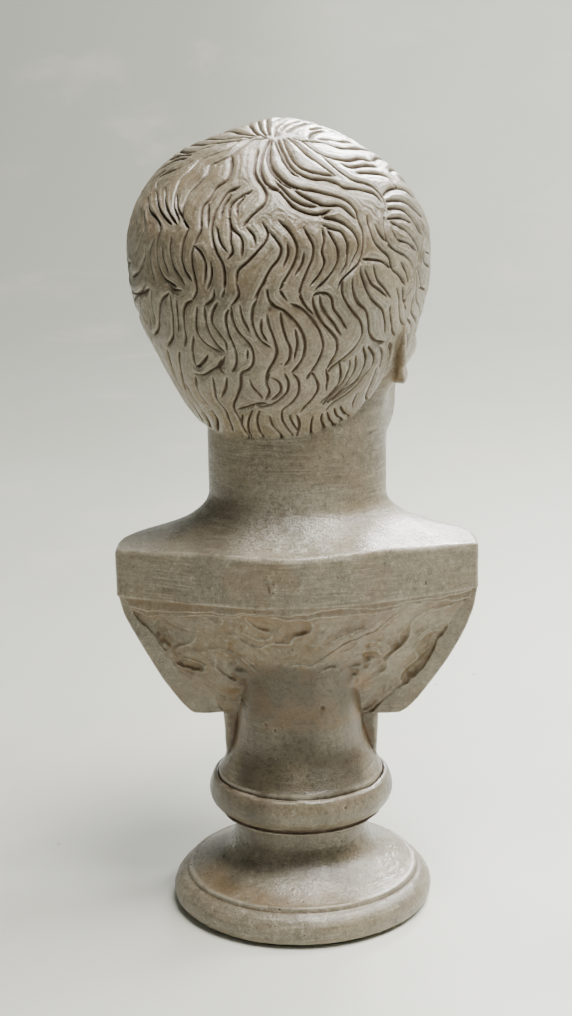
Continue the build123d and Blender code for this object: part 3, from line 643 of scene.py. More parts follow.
    "-72.0,18.2 -76.5,13.6 -79.0,7.5",
    "-85.9,39.8 -91.4,35.4",
    "-34.6,95.9 -40.3,95.4 -46.5,94.1",
    "-28.3,88.9 -33.8,93.8 -41.6,85.3",
]
SKULL_C = np.array([0.0, 0.0, 236.0])
WHORL = (-9.4, 65.5)


def direction(p, q):
    th = np.radians(np.hypot(p, q)) + 1e-9
    s = np.sin(th) / th
    return np.stack([np.radians(p) * s, np.cos(th), np.radians(q) * s], -1)


def smooth_run(pts, step=0.6):
    """Catmull-Rom through a run of unit vectors, resampled densely."""
    P = np.concatenate([pts[:1] * 2 - pts[1:2], pts, pts[-1:] * 2 - pts[-2:-1]])
    out = []
    for i in range(1, len(P) - 2):
        a, b, c, d = P[i - 1:i + 3]
        n = max(2, int(np.degrees(np.linalg.norm(c - b)) / step))
        t = (np.arange(n) / n)[:, None]
        out.append(0.5 * (2 * b + (c - a) * t + (2 * a - 5 * b + 4 * c - d) * t * t + (3 * b - a - 3 * c + d) * t ** 3))
    out.append(P[-2:-1])
    v = np.concatenate(out)
    return v / np.linalg.norm(v, axis=1)[:, None]


def on_hair(v):
    """Where directions from the middle of the skull meet the hair's outer shape."""
    lo, hi = np.full(len(v), 20.0), np.full(len(v), 90.0)
    for _ in range(22):
        m = 0.5 * (lo + hi)
        p = SKULL_C + v * m[:, None]
        inside = HAIR(p[:, 0], p[:, 1], p[:, 2]) < 0
        lo, hi = np.where(inside, m, lo), np.where(inside, hi, m)
    return SKULL_C + v * lo[:, None]


def hair_runs():
    runs = []
    for line in CARVED:
        pq = np.array([[float(a) for a in w.split(",")] for w in line.split()])
        runs.append((1.0, smooth_run(direction(pq[:, 0], pq[:, 1]))))
    # the same pattern carried on by rule over the sides and the front: rings of waved locks round the whorl
    w = direction(*WHORL)
    e1 = np.cross(w, [1.0, 0, 0]); e1 /= np.linalg.norm(e1)
    e2 = np.cross(w, e1)
    eye = np.array([math.sin(TURN) * 1.0, math.cos(TURN), 0.22])       # where the placed lines end
    eye /= np.linalg.norm(eye)
    rng = np.random.default_rng(7)
    rings = [(7, 30, 15), (25, 50, 25), (44, 68, 34), (61, 86, 40), (79, 103, 44), (96, 122, 44)]
    for k, (r0, r1, count) in enumerate(rings):
        for j in range(count):
            psi = 2 * math.pi * (j + 0.5 * (k % 2)) / count + rng.uniform(-0.03, 0.03)
            a, b = r0 + rng.uniform(-3.0, 3.0), r1 + rng.uniform(-4.0, 3.0)
            amp = 3.6 * (1 if k % 2 else -1) * (1 + 0.3 * math.sin(3 * psi + k)) + rng.uniform(-0.5, 0.5)
            lean = 3.0 * math.sin(2 * psi + 1.3 * k)
            r = np.linspace(a, b, 9)
            t = (r - a) / (b - a)
            side = amp * np.sin(2 * math.pi * t * 0.92 + 0.35) * (0.5 + 0.5 * t) + lean * (t - 0.5)
            ps = psi + np.radians(side) / np.maximum(np.sin(np.radians(r)), 0.25)
            rr = np.radians(r)[:, None]
            v = np.cos(rr) * w + np.sin(rr) * (np.cos(ps)[:, None] * e1 + np.sin(ps)[:, None] * e2)
            runs.append((0.92, smooth_run(v), eye))
    return runs


def hair_lines():
    """Dense points of every carved line with its tangent, strength and whether it is a line's inner point."""
    runs = hair_runs()
    placed = np.concatenate([r[1] for r in runs if len(r) == 2])
    lines = []
    for r in runs:
        v = r[1]
        if len(r) == 3:
            d = np.degrees(np.arccos(np.clip(v @ placed.T, -1, 1).max(1)))
            ok = (v @ r[2] < 0.55) & (d > 3.6)
            if not ok.any():
                continue
            # longest stretch of allowed points
            idx = np.flatnonzero(ok)
            cuts = np.split(idx, np.flatnonzero(np.diff(idx) > 1) + 1)
            best = max(cuts, key=len)
            if len(best) < 10:
                continue
            v = v[best]
        lines.append((r[0], v))
    # further lines wherever a lock is still wide, led by the flow of the lines around
    w = direction(*WHORL)
    step = math.radians(0.6)
    cloud = [v for _, v in lines]
    tang = []
    for v in cloud:
        t = np.gradient(v, axis=0)
        tang.append(t / (np.linalg.norm(t, axis=1)[:, None] + 1e-9))
    V, T = np.concatenate(cloud), np.concatenate(tang)
    out = w - V * (V @ w)[:, None]
    T = T * np.where((T * out).sum(1) > 0, -1.0, 1.0)[:, None]
    n = 5200
    i = np.arange(n) + 0.5
    ph, ga = np.arccos(1 - 2 * i / n), math.pi * (1 + 5 ** 0.5) * i
    seeds = np.stack([np.cos(ga) * np.sin(ph), np.sin(ga) * np.sin(ph), np.cos(ph)], 1)
    seeds = seeds[(seeds[:, 2] > -0.78) & (seeds @ w < math.cos(math.radians(7.0)))]
    rng = np.random.default_rng(11)
    rng.shuffle(seeds)
    sep, near = math.cos(math.radians(4.4)), math.cos(math.radians(2.0))

    def flow(p, base):
        c = V[:base] @ p
        k = np.exp((c - 1.0) / (1.0 - math.cos(math.radians(4.5))))
        t = (T[:base] * k[:, None]).sum(0)
        t = t - p * (t @ p)
        m = np.linalg.norm(t)
        return (t / m if m > 1e-6 else None), c.max()
    base = len(V)
    for s0 in seeds:
        if (V @ s0).max() > sep:
            continue
        path = [s0]
        length = rng.uniform(14, 32)
        for sign in (1.0, -1.0):
            p = s0
            part = []
            for _ in range(int(length)):
                t, _c = flow(p, base)
                if t is None:
                    break
                p = p + sign * step * t
                p /= np.linalg.norm(p)
                if (V @ p).max() > near:
                    break
                part.append(p)
            path = part[::-1] + path if sign < 0 else path + part
        if len(path) < 11:
            continue
        v = np.array(path)
        lines.append((0.74, v))
        t = np.gradient(v, axis=0)
        V = np.concatenate([V, v])
    P, T, W, M = [], [], [], []
    for k, v in lines:
        p = on_hair(v)
        s = np.concatenate([[0], np.cumsum(np.linalg.norm(np.diff(p, axis=0), axis=1))])
        n = max(4, int(s[-1] / 0.35))
        q = np.stack([np.interp(np.linspace(0, s[-1], n), s, p[:, i]) for i in range(3)], 1)
        t = np.gradient(q, axis=0)
        t /= np.linalg.norm(t, axis=1)[:, None] + 1e-9
        e = np.minimum(np.arange(n), np.arange(n)[::-1]) * s[-1] / n
        P.append(q); T.append(t)
        W.append(k * (0.30 + 0.70 * np.clip(e / 2.0, 0, 1) ** 0.8))
        M.append(((e > 0.3)).astype(float))
    return np.concatenate(P), np.concatenate(T), np.concatenate(W), np.concatenate(M)


def carve(pts, normals, strength):
    """Height change and patina depth for hair points (world frame) by distance from the carved lines."""
    P, T, W, M = hair_lines()
    x, y = to_head(pts[:, 0], pts[:, 1])
    q = np.stack([x, y, pts[:, 2]], 1)
    nx, ny = CT * normals[:, 0] - ST * normals[:, 1], ST * normals[:, 0] + CT * normals[:, 1]
    P32 = P.astype(np.float32)
    p2 = (P32 ** 2).sum(1)

    def nearest(i):
        a = q[i:i + 3000].astype(np.float32)
        return (p2[None] - 2.0 * (a @ P32.T)).argmin(1)
    near = np.concatenate(list(POOL.map(nearest, range(0, len(q), 3000))))
    v = q - P[near]
    along = (v * T[near]).sum(1) * M[near]
    v = v - T[near] * along[:, None]
    nrm = np.stack([nx, ny, normals[:, 2]], 1)
    v = v - nrm * (v * nrm).sum(1)[:, None]
    d = np.linalg.norm(v, axis=1)
    w = W[near]
    whorl = direction(*WHORL) * 60.0 + SKULL_C
    up = whorl - q
    up = up - nrm * (up * nrm).sum(1)[:, None]
    up /= np.linalg.norm(up, axis=1)[:, None] + 1e-9
    lift = (v * up).sum(1) / (d + 0.35)
    wig = 1.0 + 0.25 * noise3(q[:, 0], q[:, 1], q[:, 2], 3.0, 21)
    width = 0.36 * wig * (0.70 + 0.40 * w)
    groove = np.exp(-(d / width) ** 1.7)
    shoulder = 1.0 - np.exp(-(d / 1.5) ** 1.3)
    strand = 0.5 + 0.5 * np.cos(2 * math.pi * (d + 0.35 * noise3(q[:, 0], q[:, 1], q[:, 2], 2.5, 30)) / 2.15)
    h = -1.45 * w * groove + 0.60 * w * (shoulder - 0.6) + 0.62 * w * lift * np.exp(-d / 2.0)
    h = h - 0.13 * (1 - strand) * np.clip(d / 1.2 - 0.6, 0, 1)
    h = h + 0.35 * noise3(q[:, 0], q[:, 1], q[:, 2], 9.0, 22) + 0.10 * noise3(q[:, 0], q[:, 1], q[:, 2], 2.2, 23)
    cav = w * np.exp(-(d / (0.47 * wig)) ** 2)
    return h * strength, cav * strength
# ---------------------------------------------------------------- the bust
VOXEL = 0.8


def split_faces(n, quads, mark):
    """Divide marked quads in four; unmarked neighbours take the new edge points as n-gons."""
    e = np.sort(np.concatenate([quads[:, [0, 1]], quads[:, [1, 2]], quads[:, [2, 3]], quads[:, [3, 0]]]), axis=1)
    key = e[:, 0] * n + e[:, 1]
    m = len(quads)
    used = np.unique(key[np.tile(mark, 4)])
    mid = n + np.searchsorted(used, key)
    has = used[np.clip(np.searchsorted(used, key), 0, len(used) - 1)] == key
    mid = mid.reshape(4, m).T
    has = has.reshape(4, m).T
    marked = np.flatnonzero(mark)
    cen = n + len(used) + np.arange(len(marked))
    a, mm = quads[marked], mid[marked]
    faces = np.concatenate([np.stack([a[:, i], mm[:, i], cen, mm[:, i - 1]], 1) for i in range(4)])
    pairs = np.stack([used // n, used % n], 1)
    rest = np.flatnonzero(~mark)
    plain = rest[~has[rest].any(1)]
    out = faces.tolist() + quads[plain].tolist()
    for f in rest[has[rest].any(1)]:
        loop = []
        for i in range(4):
            loop.append(int(quads[f, i]))
            if has[f, i]:
                loop.append(int(mid[f, i]))
        out.append(loop)
    return pairs, quads[marked], out


def relief(ob, rounds):
    """How far each point lies below its surroundings, in mm, for each number of smoothing rounds."""
    me = ob.data
    n = len(me.vertices)
    p = np.empty(n * 3); me.vertices.foreach_get("co", p); p = p.reshape(-1, 3) / MM
    nr = np.empty(n * 3); me.vertices.foreach_get("normal", nr); nr = nr.reshape(-1, 3)
    e = np.empty(len(me.edges) * 2, np.int32); me.edges.foreach_get("vertices", e); e = e.reshape(-1, 2)
    i, j = np.concatenate([e[:, 0], e[:, 1]]), np.concatenate([e[:, 1], e[:, 0]])
    deg = np.maximum(np.bincount(i, minlength=n), 1)
    q, out = p.copy(), []
    for k in range(1, max(rounds) + 1):
        q = np.stack([np.bincount(i, q[j, a], n) / deg for a in range(3)], 1) * 0.7 + q * 0.3
        if k in rounds:
            out.append(((q - p) * nr).sum(1))
    return out


def store(ob, **values):
    for name, v in values.items():
        a = ob.data.attributes.get(name) or ob.data.attributes.new(name, "FLOAT", "POINT")
        a.data.foreach_set("value", np.asarray(v, np.float32))


def build_bust():
    pts, quads = surface(bust_field, (-76.0, -94.0, 46.0), (76.0, 56.0, 306.0), VOXEL)
    keep, quads = largest_piece(len(pts), quads)
    pts = settle(bust_field, pts[keep])
    skin, hair = evaluate(lambda x, y, z: np.stack(head_field(x, y, z), 1), pts[:, 0], pts[:, 1], pts[:, 2]).T
    on = (hair < 0.7) & (skin > -0.5) & (pts[:, 2] > 178)
    rough = (pts[:, 1] > 0) & (pts[:, 2] > 76) & (pts[:, 2] < 127.6) & (np.abs(pts[:, 0]) < 70) & ~QUICK_MASK(pts)
    hx, hy = to_head(pts[:, 0], pts[:, 1])
    face = (hy < -45) & (pts[:, 2] > 178) & (pts[:, 2] < 240) & (np.abs(hx) < 31)
    ears = (np.abs(hx) > 41) & (np.abs(hy) < 14) & (np.abs(pts[:, 2] - 214.0) < 20)
    mark = (on | ((face | ears) & ~QUICK_MASK(pts)))[quads].all(1) | rough[quads].all(1)
    pairs, corners, faces = split_faces(len(pts), quads, mark)
    pts = np.concatenate([pts, pts[pairs].mean(1), pts[corners].mean(1)])
    pts = settle(bust_field, pts, 1)
    nrm = gradient(bust_field, pts, 0.5)
    nrm /= np.linalg.norm(nrm, axis=1)[:, None] + 1e-9
    skin, hair = evaluate(lambda x, y, z: np.stack(head_field(x, y, z), 1), pts[:, 0], pts[:, 1], pts[:, 2]).T
    strength = np.clip((skin - 0.1) / 1.6, 0, 1) * np.clip((0.9 - hair) / 0.5, 0, 1)
    on = strength > 0.01
    h = np.zeros(len(pts)); cav = np.zeros(len(pts))
    h[on], cav[on] = carve(pts[on], nrm[on], strength[on])
    # shallow hand-made unevenness and pits away from the hair
    x, y, z = pts.T
    plain = 1.0 - np.clip(strength, 0, 1)
    h += plain * (0.10 * noise3(x, y, z, 7.0, 51) + 0.05 * noise3(x, y, z, 2.4, 52))
    top = np.exp(-((z - 144.6) / 2.6) ** 2) * (y > 6) * np.clip((6.0 - x) / 10.0, 0, 1)
    h -= plain * top * 0.9 * np.clip(noise3(x, y, z, 2.6, 53) + 0.7 * noise3(x, y, z, 7.0, 54) - 0.35, 0, 1)
    lump = np.exp(-((x - 9.6) / 1.9) ** 2 - ((z - 135.6) / 4.2) ** 2) * (y > 20)
    h += plain * lump * np.clip(0.5 + 1.1 * noise3(x, y, z, 1.5, 55), 0, 1.4)
    pit = pits(pts, PITS)
    h -= pit * 0.55 * plain
    pts = pts + nrm * h[:, None]
    ob = mesh_object("bust_stone", pts, faces)
    low, mid, wide = relief(ob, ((2, 7, 26)))
    # cavity: brown patina in the carved hair lines and the pits, and painted shade wherever the surface lies below its
    # surroundings
    dark = np.maximum(cav * 0.95, np.clip((low - 0.035) / 0.16, 0, 1) * 0.9)
    dark = np.maximum(dark, np.clip((mid - 0.12) / 0.45, 0, 1) * 0.85)
    inhollow = (y > 0) * np.clip((127.6 - z) / 0.6, 0, 1) * np.clip((z - 78.0) / 4.0, 0, 1)
    dark = dark * (1.0 - 0.62 * inhollow)
    dark = np.maximum(dark, pit)
    # the wash that was left in the rough back, round the pillar and behind the ears
    _, inner, _ = hollow(x, z)
    back = np.clip(inner / 1.5 + 0.6, 0, 1) * (y > 2) * np.clip((127.4 - z) / 0.5, 0, 1) * np.clip((z - 74.0) / 3.0, 0, 1)
    side = np.exp(-((np.abs(x) - 24.5) / 4.0) ** 2) * (y > -6) * (y < 22) * np.clip((z - 58.0) / 8.0, 0, 1) * np.clip((98.0 - z) / 8.0, 0, 1)
    deep = np.clip(0.36 + (mid + 0.6 * wide) / 0.75, 0, 1)
    glaze = np.clip(back * (1.25 * deep + 0.22 * np.exp(-((z - 122.0) / 6.0) ** 2)) + side, 0, 1) + np.clip((wide - 0.25) / 1.0, 0, 1) * 0.8
    hx, hy = to_head(x, y)
    behind = np.exp(-((np.abs(hx) - 46.0) / 6.0) ** 2 - ((hy - 6.0) / 9.0) ** 2 - ((z - 212.0) / 14.0) ** 2) * (strength < 0.4)
    glaze = np.clip(glaze + 1.1 * behind, 0, 1)
    # painted shade in the narrow gap between the hair's edge and the back of each ear
    painted_shade_ear_gap = np.exp(-((np.abs(hx) - 44.5) / 3.5) ** 2 - ((hy - 8.0) / 7.0) ** 2 - ((z - 216.0) / 13.0) ** 2) * (strength < 0.5)
    dark = np.maximum(dark, 0.85 * painted_shade_ear_gap)
    ear_skin = (np.abs(hx) > 42.0) * (np.abs(hy) < 17.0) * (np.abs(z - 215.0) < 20.0)
    # brown left among the locks in places, smoke on the back of the pillar, strokes on the plain surfaces
    q = noise3(x, y, z, 17.0, 71) + 0.6 * noise3(x, y, z, 6.0, 72)
    warm = np.clip(0.36 + 0.9 * q, 0, 1) * np.clip(strength, 0, 1) * (0.25 + 0.75 * np.clip((mid + 0.10) / 0.25, 0, 1))
    crown = np.exp(-((x - 14.0) / 22.0) ** 2 - ((z - 246.0) / 26.0) ** 2) * (y > 10) + np.exp(-((z - 188.0) / 9.0) ** 2) * (y > -20) * 0.8
    crown = crown + np.exp(-((x - 4.0) ** 2 + (y + 14.0) ** 2) / 380.0) * (z > 270)
    glaze = np.clip(glaze + warm * (0.42 + 0.60 * np.clip(crown, 0, 1)), 0, 1)
    smoke = np.clip((y - 2.0) / 8.0, 0, 1) * np.clip((27.0 - np.abs(x)) / 5.0, 0, 1) * np.clip((106.0 - z) / 8.0, 0, 1)
    smoke = smoke * np.clip(0.98 + 0.50 * noise3(x, y, z, 12.0, 73), 0, 1)
    smoke = np.maximum(smoke, 0.40 * np.clip(noise3(x, y, z, 22.0, 74) + 0.1, 0, 1))
    # polish: painted highlight where the shoulder tops and the crown's lock tops catch the light; the material also
    # lowers the roughness there
    top = (z > 144.0) & (z < 168.0) & (y > 4)
    polish = np.exp(-((x - 2.0) / 22.0) ** 4 - ((y - 27.0) / 11.0) ** 2) * top + np.exp(-((x + 45.0) / 8.0) ** 2 - ((y - 14.0) / 9.0) ** 2) * top
    polish = polish * np.clip(0.85 + 0.5 * noise3(x, y, z, 9.0, 77) + 0.4 * noise3(x, y, z, 2.5, 78), 0, 1)
    polish = np.maximum(polish, 0.75 * np.exp(-((x - 12.0) / 9.0) ** 2 - ((z - 262.0) / 11.0) ** 2) * (y > 10) * np.clip((mid + 0.05) / -0.15 + 0.5, 0, 1))
    # worn: raised edges, made lighter as rubbed wear and as painted highlight
    store(ob, cavity=np.clip(dark, 0, 1), glaze=glaze, worn=np.clip((-low - 0.018) / 0.07, 0, 1), smoke=np.clip(smoke, 0, 1), polish=polish,
          brush=(1.0 - np.clip(strength, 0, 1)) * (1.0 - 0.8 * inhollow) * (1.0 - 0.85 * ear_skin))
    return ob


def QUICK_MASK(p):
    return np.full(len(p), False)


# larger pinholes and chips: x, y, z, radius, in mm
PITS = [
    (9.0, 36.2, 133.0, 0.8), (-14.5, 35.0, 138.0, 0.6), (26.0, 31.0, 131.5, 0.6), (-47.0, 22.0, 132.0, 0.7), (52.0, 18.0, 137.5, 0.8),
    (40.0, 25.5, 141.0, 0.6), (-31.0, 30.0, 140.0, 0.5), (13.0, 23.0, 78.0, 1.1), (9.5, 23.4, 76.0, 0.9), (-8.5, 22.0, 84.5, 1.3),
    (10.0, 25.0, 66.5, 0.7), (-13.0, 23.0, 68.0, 0.7), (-16.0, 23.0, 66.0, 0.5), (4.0, 27.5, 62.5, 0.6), (19.0, 20.0, 64.0, 0.6),
    (6.0, 30.0, 59.0, 0.5), (-5.0, 30.0, 58.5, 0.5), (15.0, 26.5, 59.5, 0.6), (12.0, 27.0, 61.5, 0.5), (18.0, 22.0, 70.0, 0.5),
    (8.0, 41.9, 236.0, 1.2), (-44.0, 20.0, 128.6, 0.8), (-61.0, 6.0, 134.0, 0.6), (60.0, 9.0, 131.0, 0.6), (20.0, 10.0, 155.0, 0.5),
    (33.0, -5.0, 150.0, 0.6), (-28.0, 5.0, 151.0, 0.5), (-50.0, 3.0, 146.5, 0.6), (-24.0, -45.0, 120.0, 0.7), (30.0, -42.0, 112.0, 0.6),
    (12.0, -52.0, 132.0, 0.5), (-40.0, -30.0, 134.0, 0.6), (-20.0, -20.0, 66.0, 0.7), (17.0, -26.0, 72.0, 0.6), (2.0, -33.0, 61.0, 0.5),
]


def pits(pts, table):
    out = np.zeros(len(pts))
    for cx, cy, cz, r in table:
        d = np.sqrt((pts[:, 0] - cx) ** 2 + ((pts[:, 1] - cy) * 0.35) ** 2 + ((pts[:, 2] - cz) * 0.9) ** 2)
        sgn = (pts[:, 1] > 0) == (cy > 0)
        out = np.maximum(out, np.clip(1.30 - d / (0.72 * r), 0, 1) * sgn)
    return out


bust = build_bust()
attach(bust, "figure")
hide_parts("bust")


# ---------------------------------------------------------------- the socle, turned in one stone and rubbed by hand
def curve_run(pts, t0, t1, n):
    """Points along a smooth curve through the given (r, z) points with end directions."""
    P = np.asarray(pts, float)
    d = np.linalg.norm(np.diff(P, axis=0), axis=1)
    T = np.zeros_like(P)
    T[1:-1] = (P[2:] - P[:-2]) / (d[1:] + d[:-1])[:, None]
    T[0] = np.asarray(t0) / np.linalg.norm(t0); T[-1] = np.asarray(t1) / np.linalg.norm(t1)
    out = []
    for i in range(len(P) - 1):
        m = max(2, int(round(n * d[i] / d.sum())))
        t = (np.arange(m) / m)[:, None]
        out.append((2 * t ** 3 - 3 * t ** 2 + 1) * P[i] + (t ** 3 - 2 * t ** 2 + t) * d[i] * T[i]
                   + (-2 * t ** 3 + 3 * t ** 2) * P[i + 1] + (t ** 3 - t ** 2) * d[i] * T[i + 1])
    return np.concatenate(out)


def build_socle():
    step = 0.55
    foot = curve_run([(49.2, 1.5), (50.55, 5.4), (49.25, 9.2), (45.6, 12.0)], (1, 0.9), (-1, 0.25), int(13 / step))
    ridge = [(45.35, 12.15), (45.05, 12.35), (44.95, 12.9), (44.85, 13.5), (44.6, 14.0), (44.2, 14.2), (43.7, 14.28)]
    cone = curve_run([(43.3, 14.3), (36.5, 17.6), (29.4, 22.2), (26.1, 28.0), (25.4, 33.0), (25.6, 36.2)], (-1, 0.38), (0.1, 1), int(34 / step))
    lip = [(25.75, 36.55), (26.2, 36.75), (27.0, 36.82), (28.4, 36.84), (29.8, 36.86), (30.9, 36.9), (31.2, 37.1), (31.3, 37.4), (31.15, 37.75), (30.7, 38.05), (30.5, 38.4), (30.6, 38.75), (31.0, 39.0)]
    bead = curve_run([(31.5, 39.1), (34.55, 41.6), (35.55, 45.6), (34.65, 49.8), (33.1, 52.0)], (1, 0.25), (-1, 0.45), int(17 / step))
    rim = [(32.8, 52.12), (32.5, 52.12), (32.2, 52.02), (32.02, 51.8), (31.95, 51.4), (31.95, 50.7), (31.8, 50.25), (31.3, 50.2)]
    inside = [(28.0, 50.2), (22.0, 50.2), (14.0, 50.2), (6.5, 50.2), (6.5, 42.0), (6.5, 31.0), (6.5, 20.0), (11.0, 20.0), (15.0, 20.0),
              (15.0, 12.0), (15.0, 1.5), (24.0, 1.5), (34.0, 1.5), (44.0, 1.5), (48.2, 1.5)]
    prof = np.concatenate([foot, ridge, cone, lip, bead, rim, inside])
    seg = 540
    a = np.arange(seg) * 2 * math.pi / seg
    r = prof[:, 0][:, None]
    z = np.repeat(prof[:, 1][:, None], seg, 1)
    x, y = r * np.cos(a), r * np.sin(a)
    t = np.gradient(prof, axis=0)
    t /= np.linalg.norm(t, axis=1)[:, None] + 1e-9
    nr, nz = t[:, 1], -t[:, 0]
    outer = np.zeros(len(prof)); outer[:len(prof) - len(inside)] = 1.0
    P = np.stack([x.ravel(), y.ravel(), z.ravel()], 1)
    N = np.stack([(nr[:, None] * np.cos(a)).ravel(), (nr[:, None] * np.sin(a)).ravel(), np.repeat(nz, seg)], 1)
    k = np.repeat(outer, seg)
    # hand-rubbed unevenness, turning lines, chips and pinholes
    x, y, z = P.T
    ang = np.arctan2(y, x)
    h = 0.22 * noise3(x, y, z, 15.0, 61) + 0.09 * noise3(x, y, z, 5.0, 62) + 0.04 * noise3(x, y, z, 2.0, 63) - 0.10
    h += 0.05 * noise3(ang * 9.0, z * 0, z * 2.2, 1.0, 64)
    lipz = np.exp(-((z - 37.4) / 1.2) ** 2) * (np.hypot(x, y) > 28)
    h -= lipz * np.clip(0.9 * noise3(x, y, z * 0, 5.5, 65) - 0.1, 0, 1) * 0.9
    seam = np.exp(-((z - 51.9) / 0.9) ** 2) * (np.hypot(x, y) < 33.6)
    h -= seam * np.clip(0.5 + noise3(x, y, z * 0, 4.0, 66), 0, 1) * 0.35
    rng = np.random.default_rng(5)
    hole = np.zeros(len(P))
    for i in range(120):
        b = rng.uniform(0, 2 * math.pi)
        row = rng.integers(0, len(prof) - len(inside) - 8)
        c = np.array([prof[row, 0] * math.cos(b), prof[row, 0] * math.sin(b), prof[row, 1]])
        rad = 0.22 + 0.42 * rng.random() ** 4
        near = np.flatnonzero((np.abs(z - c[2]) < 3) & (np.abs(x - c[0]) < 3) & (np.abs(y - c[1]) < 3))
        d = np.sqrt((((P[near] - c) * (1, 1, 1.1)) ** 2).sum(1))
        hole[near] = np.maximum(hole[near], np.clip(1.35 - d / rad, 0, 1))
    h -= 0.5 * hole
    h = np.minimum(h, 0.05)
    P = P + N * (h * k)[:, None]
    m = len(prof)
    i, j = np.meshgrid(np.arange(m), np.arange(seg), indexing="ij")
    i2, j2 = (i + 1) % m, (j + 1) % seg
    faces = np.stack([i * seg + j, i * seg + j2, i2 * seg + j2, i2 * seg + j], -1).reshape(-1, 4)
    ob = mesh_object("socle_stone", P, faces)
    low, mid, wide = relief(ob, (2, 6, 22))
    # grime and painted shade wherever the surface lies below its surroundings, and the pits
    dark = np.maximum(np.clip((low - 0.03) / 0.16, 0, 1), np.clip((mid - 0.10) / 0.4, 0, 1) * 0.9)
    dark = np.maximum(dark, hole)
    # painted shadow under the bead: a dark band on the bead's underside and the lip below it
    under = np.clip((40.2 - z) / 1.0, 0, 1) * np.clip((z - 37.6) / 0.35, 0, 1)
    dark = np.maximum(dark, under * (1.05 + 0.45 * noise3(x, y, z, 6.0, 67)))
    seat = np.clip((z - 51.2) / 0.7, 0, 1) * np.clip((33.2 - np.hypot(x, y)) / 0.8, 0, 1)
    dark = np.maximum(dark, seat * 0.75)
    glaze = np.clip((wide - 0.15) / 0.8, 0, 1) * 0.7
    glaze = np.maximum(glaze, np.exp(-((z - 15.5) / 2.2) ** 2) * (np.hypot(x, y) < 44.5) * 0.55)
    glaze = np.maximum(glaze, np.clip((4.5 - z) / 3.0, 0, 1) * 0.7)
    glaze = np.maximum(glaze, np.exp(-((z - 35.0) / 4.0) ** 2) * (np.hypot(x, y) < 27.5) * 0.35)
    smoke = np.exp(-((z - 46.0) / 7.0) ** 2) * np.clip(0.66 + 0.50 * noise3(x, y, z, 9.0, 75), 0, 1)
    smoke = np.maximum(smoke, np.clip(0.8 * noise3(x, y, z, 14.0, 76), 0, 1) * np.clip((z - 6.0) / 10.0, 0, 1))
    # painted highlight on the front of the cone where it catches the light; the material also lowers the roughness
    # there
    polish = 0.6 * np.exp(-((x - 2.0) / 14.0) ** 2 - ((z - 19.0) / 3.0) ** 2) * (y > 0) + 0.5 * np.exp(-((x + 30.0) / 12.0) ** 2 - ((z - 17.0) / 4.0) ** 2) * (y > 0)
    # worn: raised edges, made lighter as rubbed wear and as painted highlight
    store(ob, cavity=np.clip(dark, 0, 1), glaze=np.clip(glaze, 0, 1), worn=np.clip((-low - 0.018) / 0.07, 0, 1), smoke=np.clip(smoke, 0, 1),
          polish=polish * np.clip(0.7 + 0.6 * noise3(x, y, z, 4.0, 79), 0, 1), brush=np.full(len(x), 0.5))
    return ob


socle = build_socle()
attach(socle, "base")
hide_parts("socle")
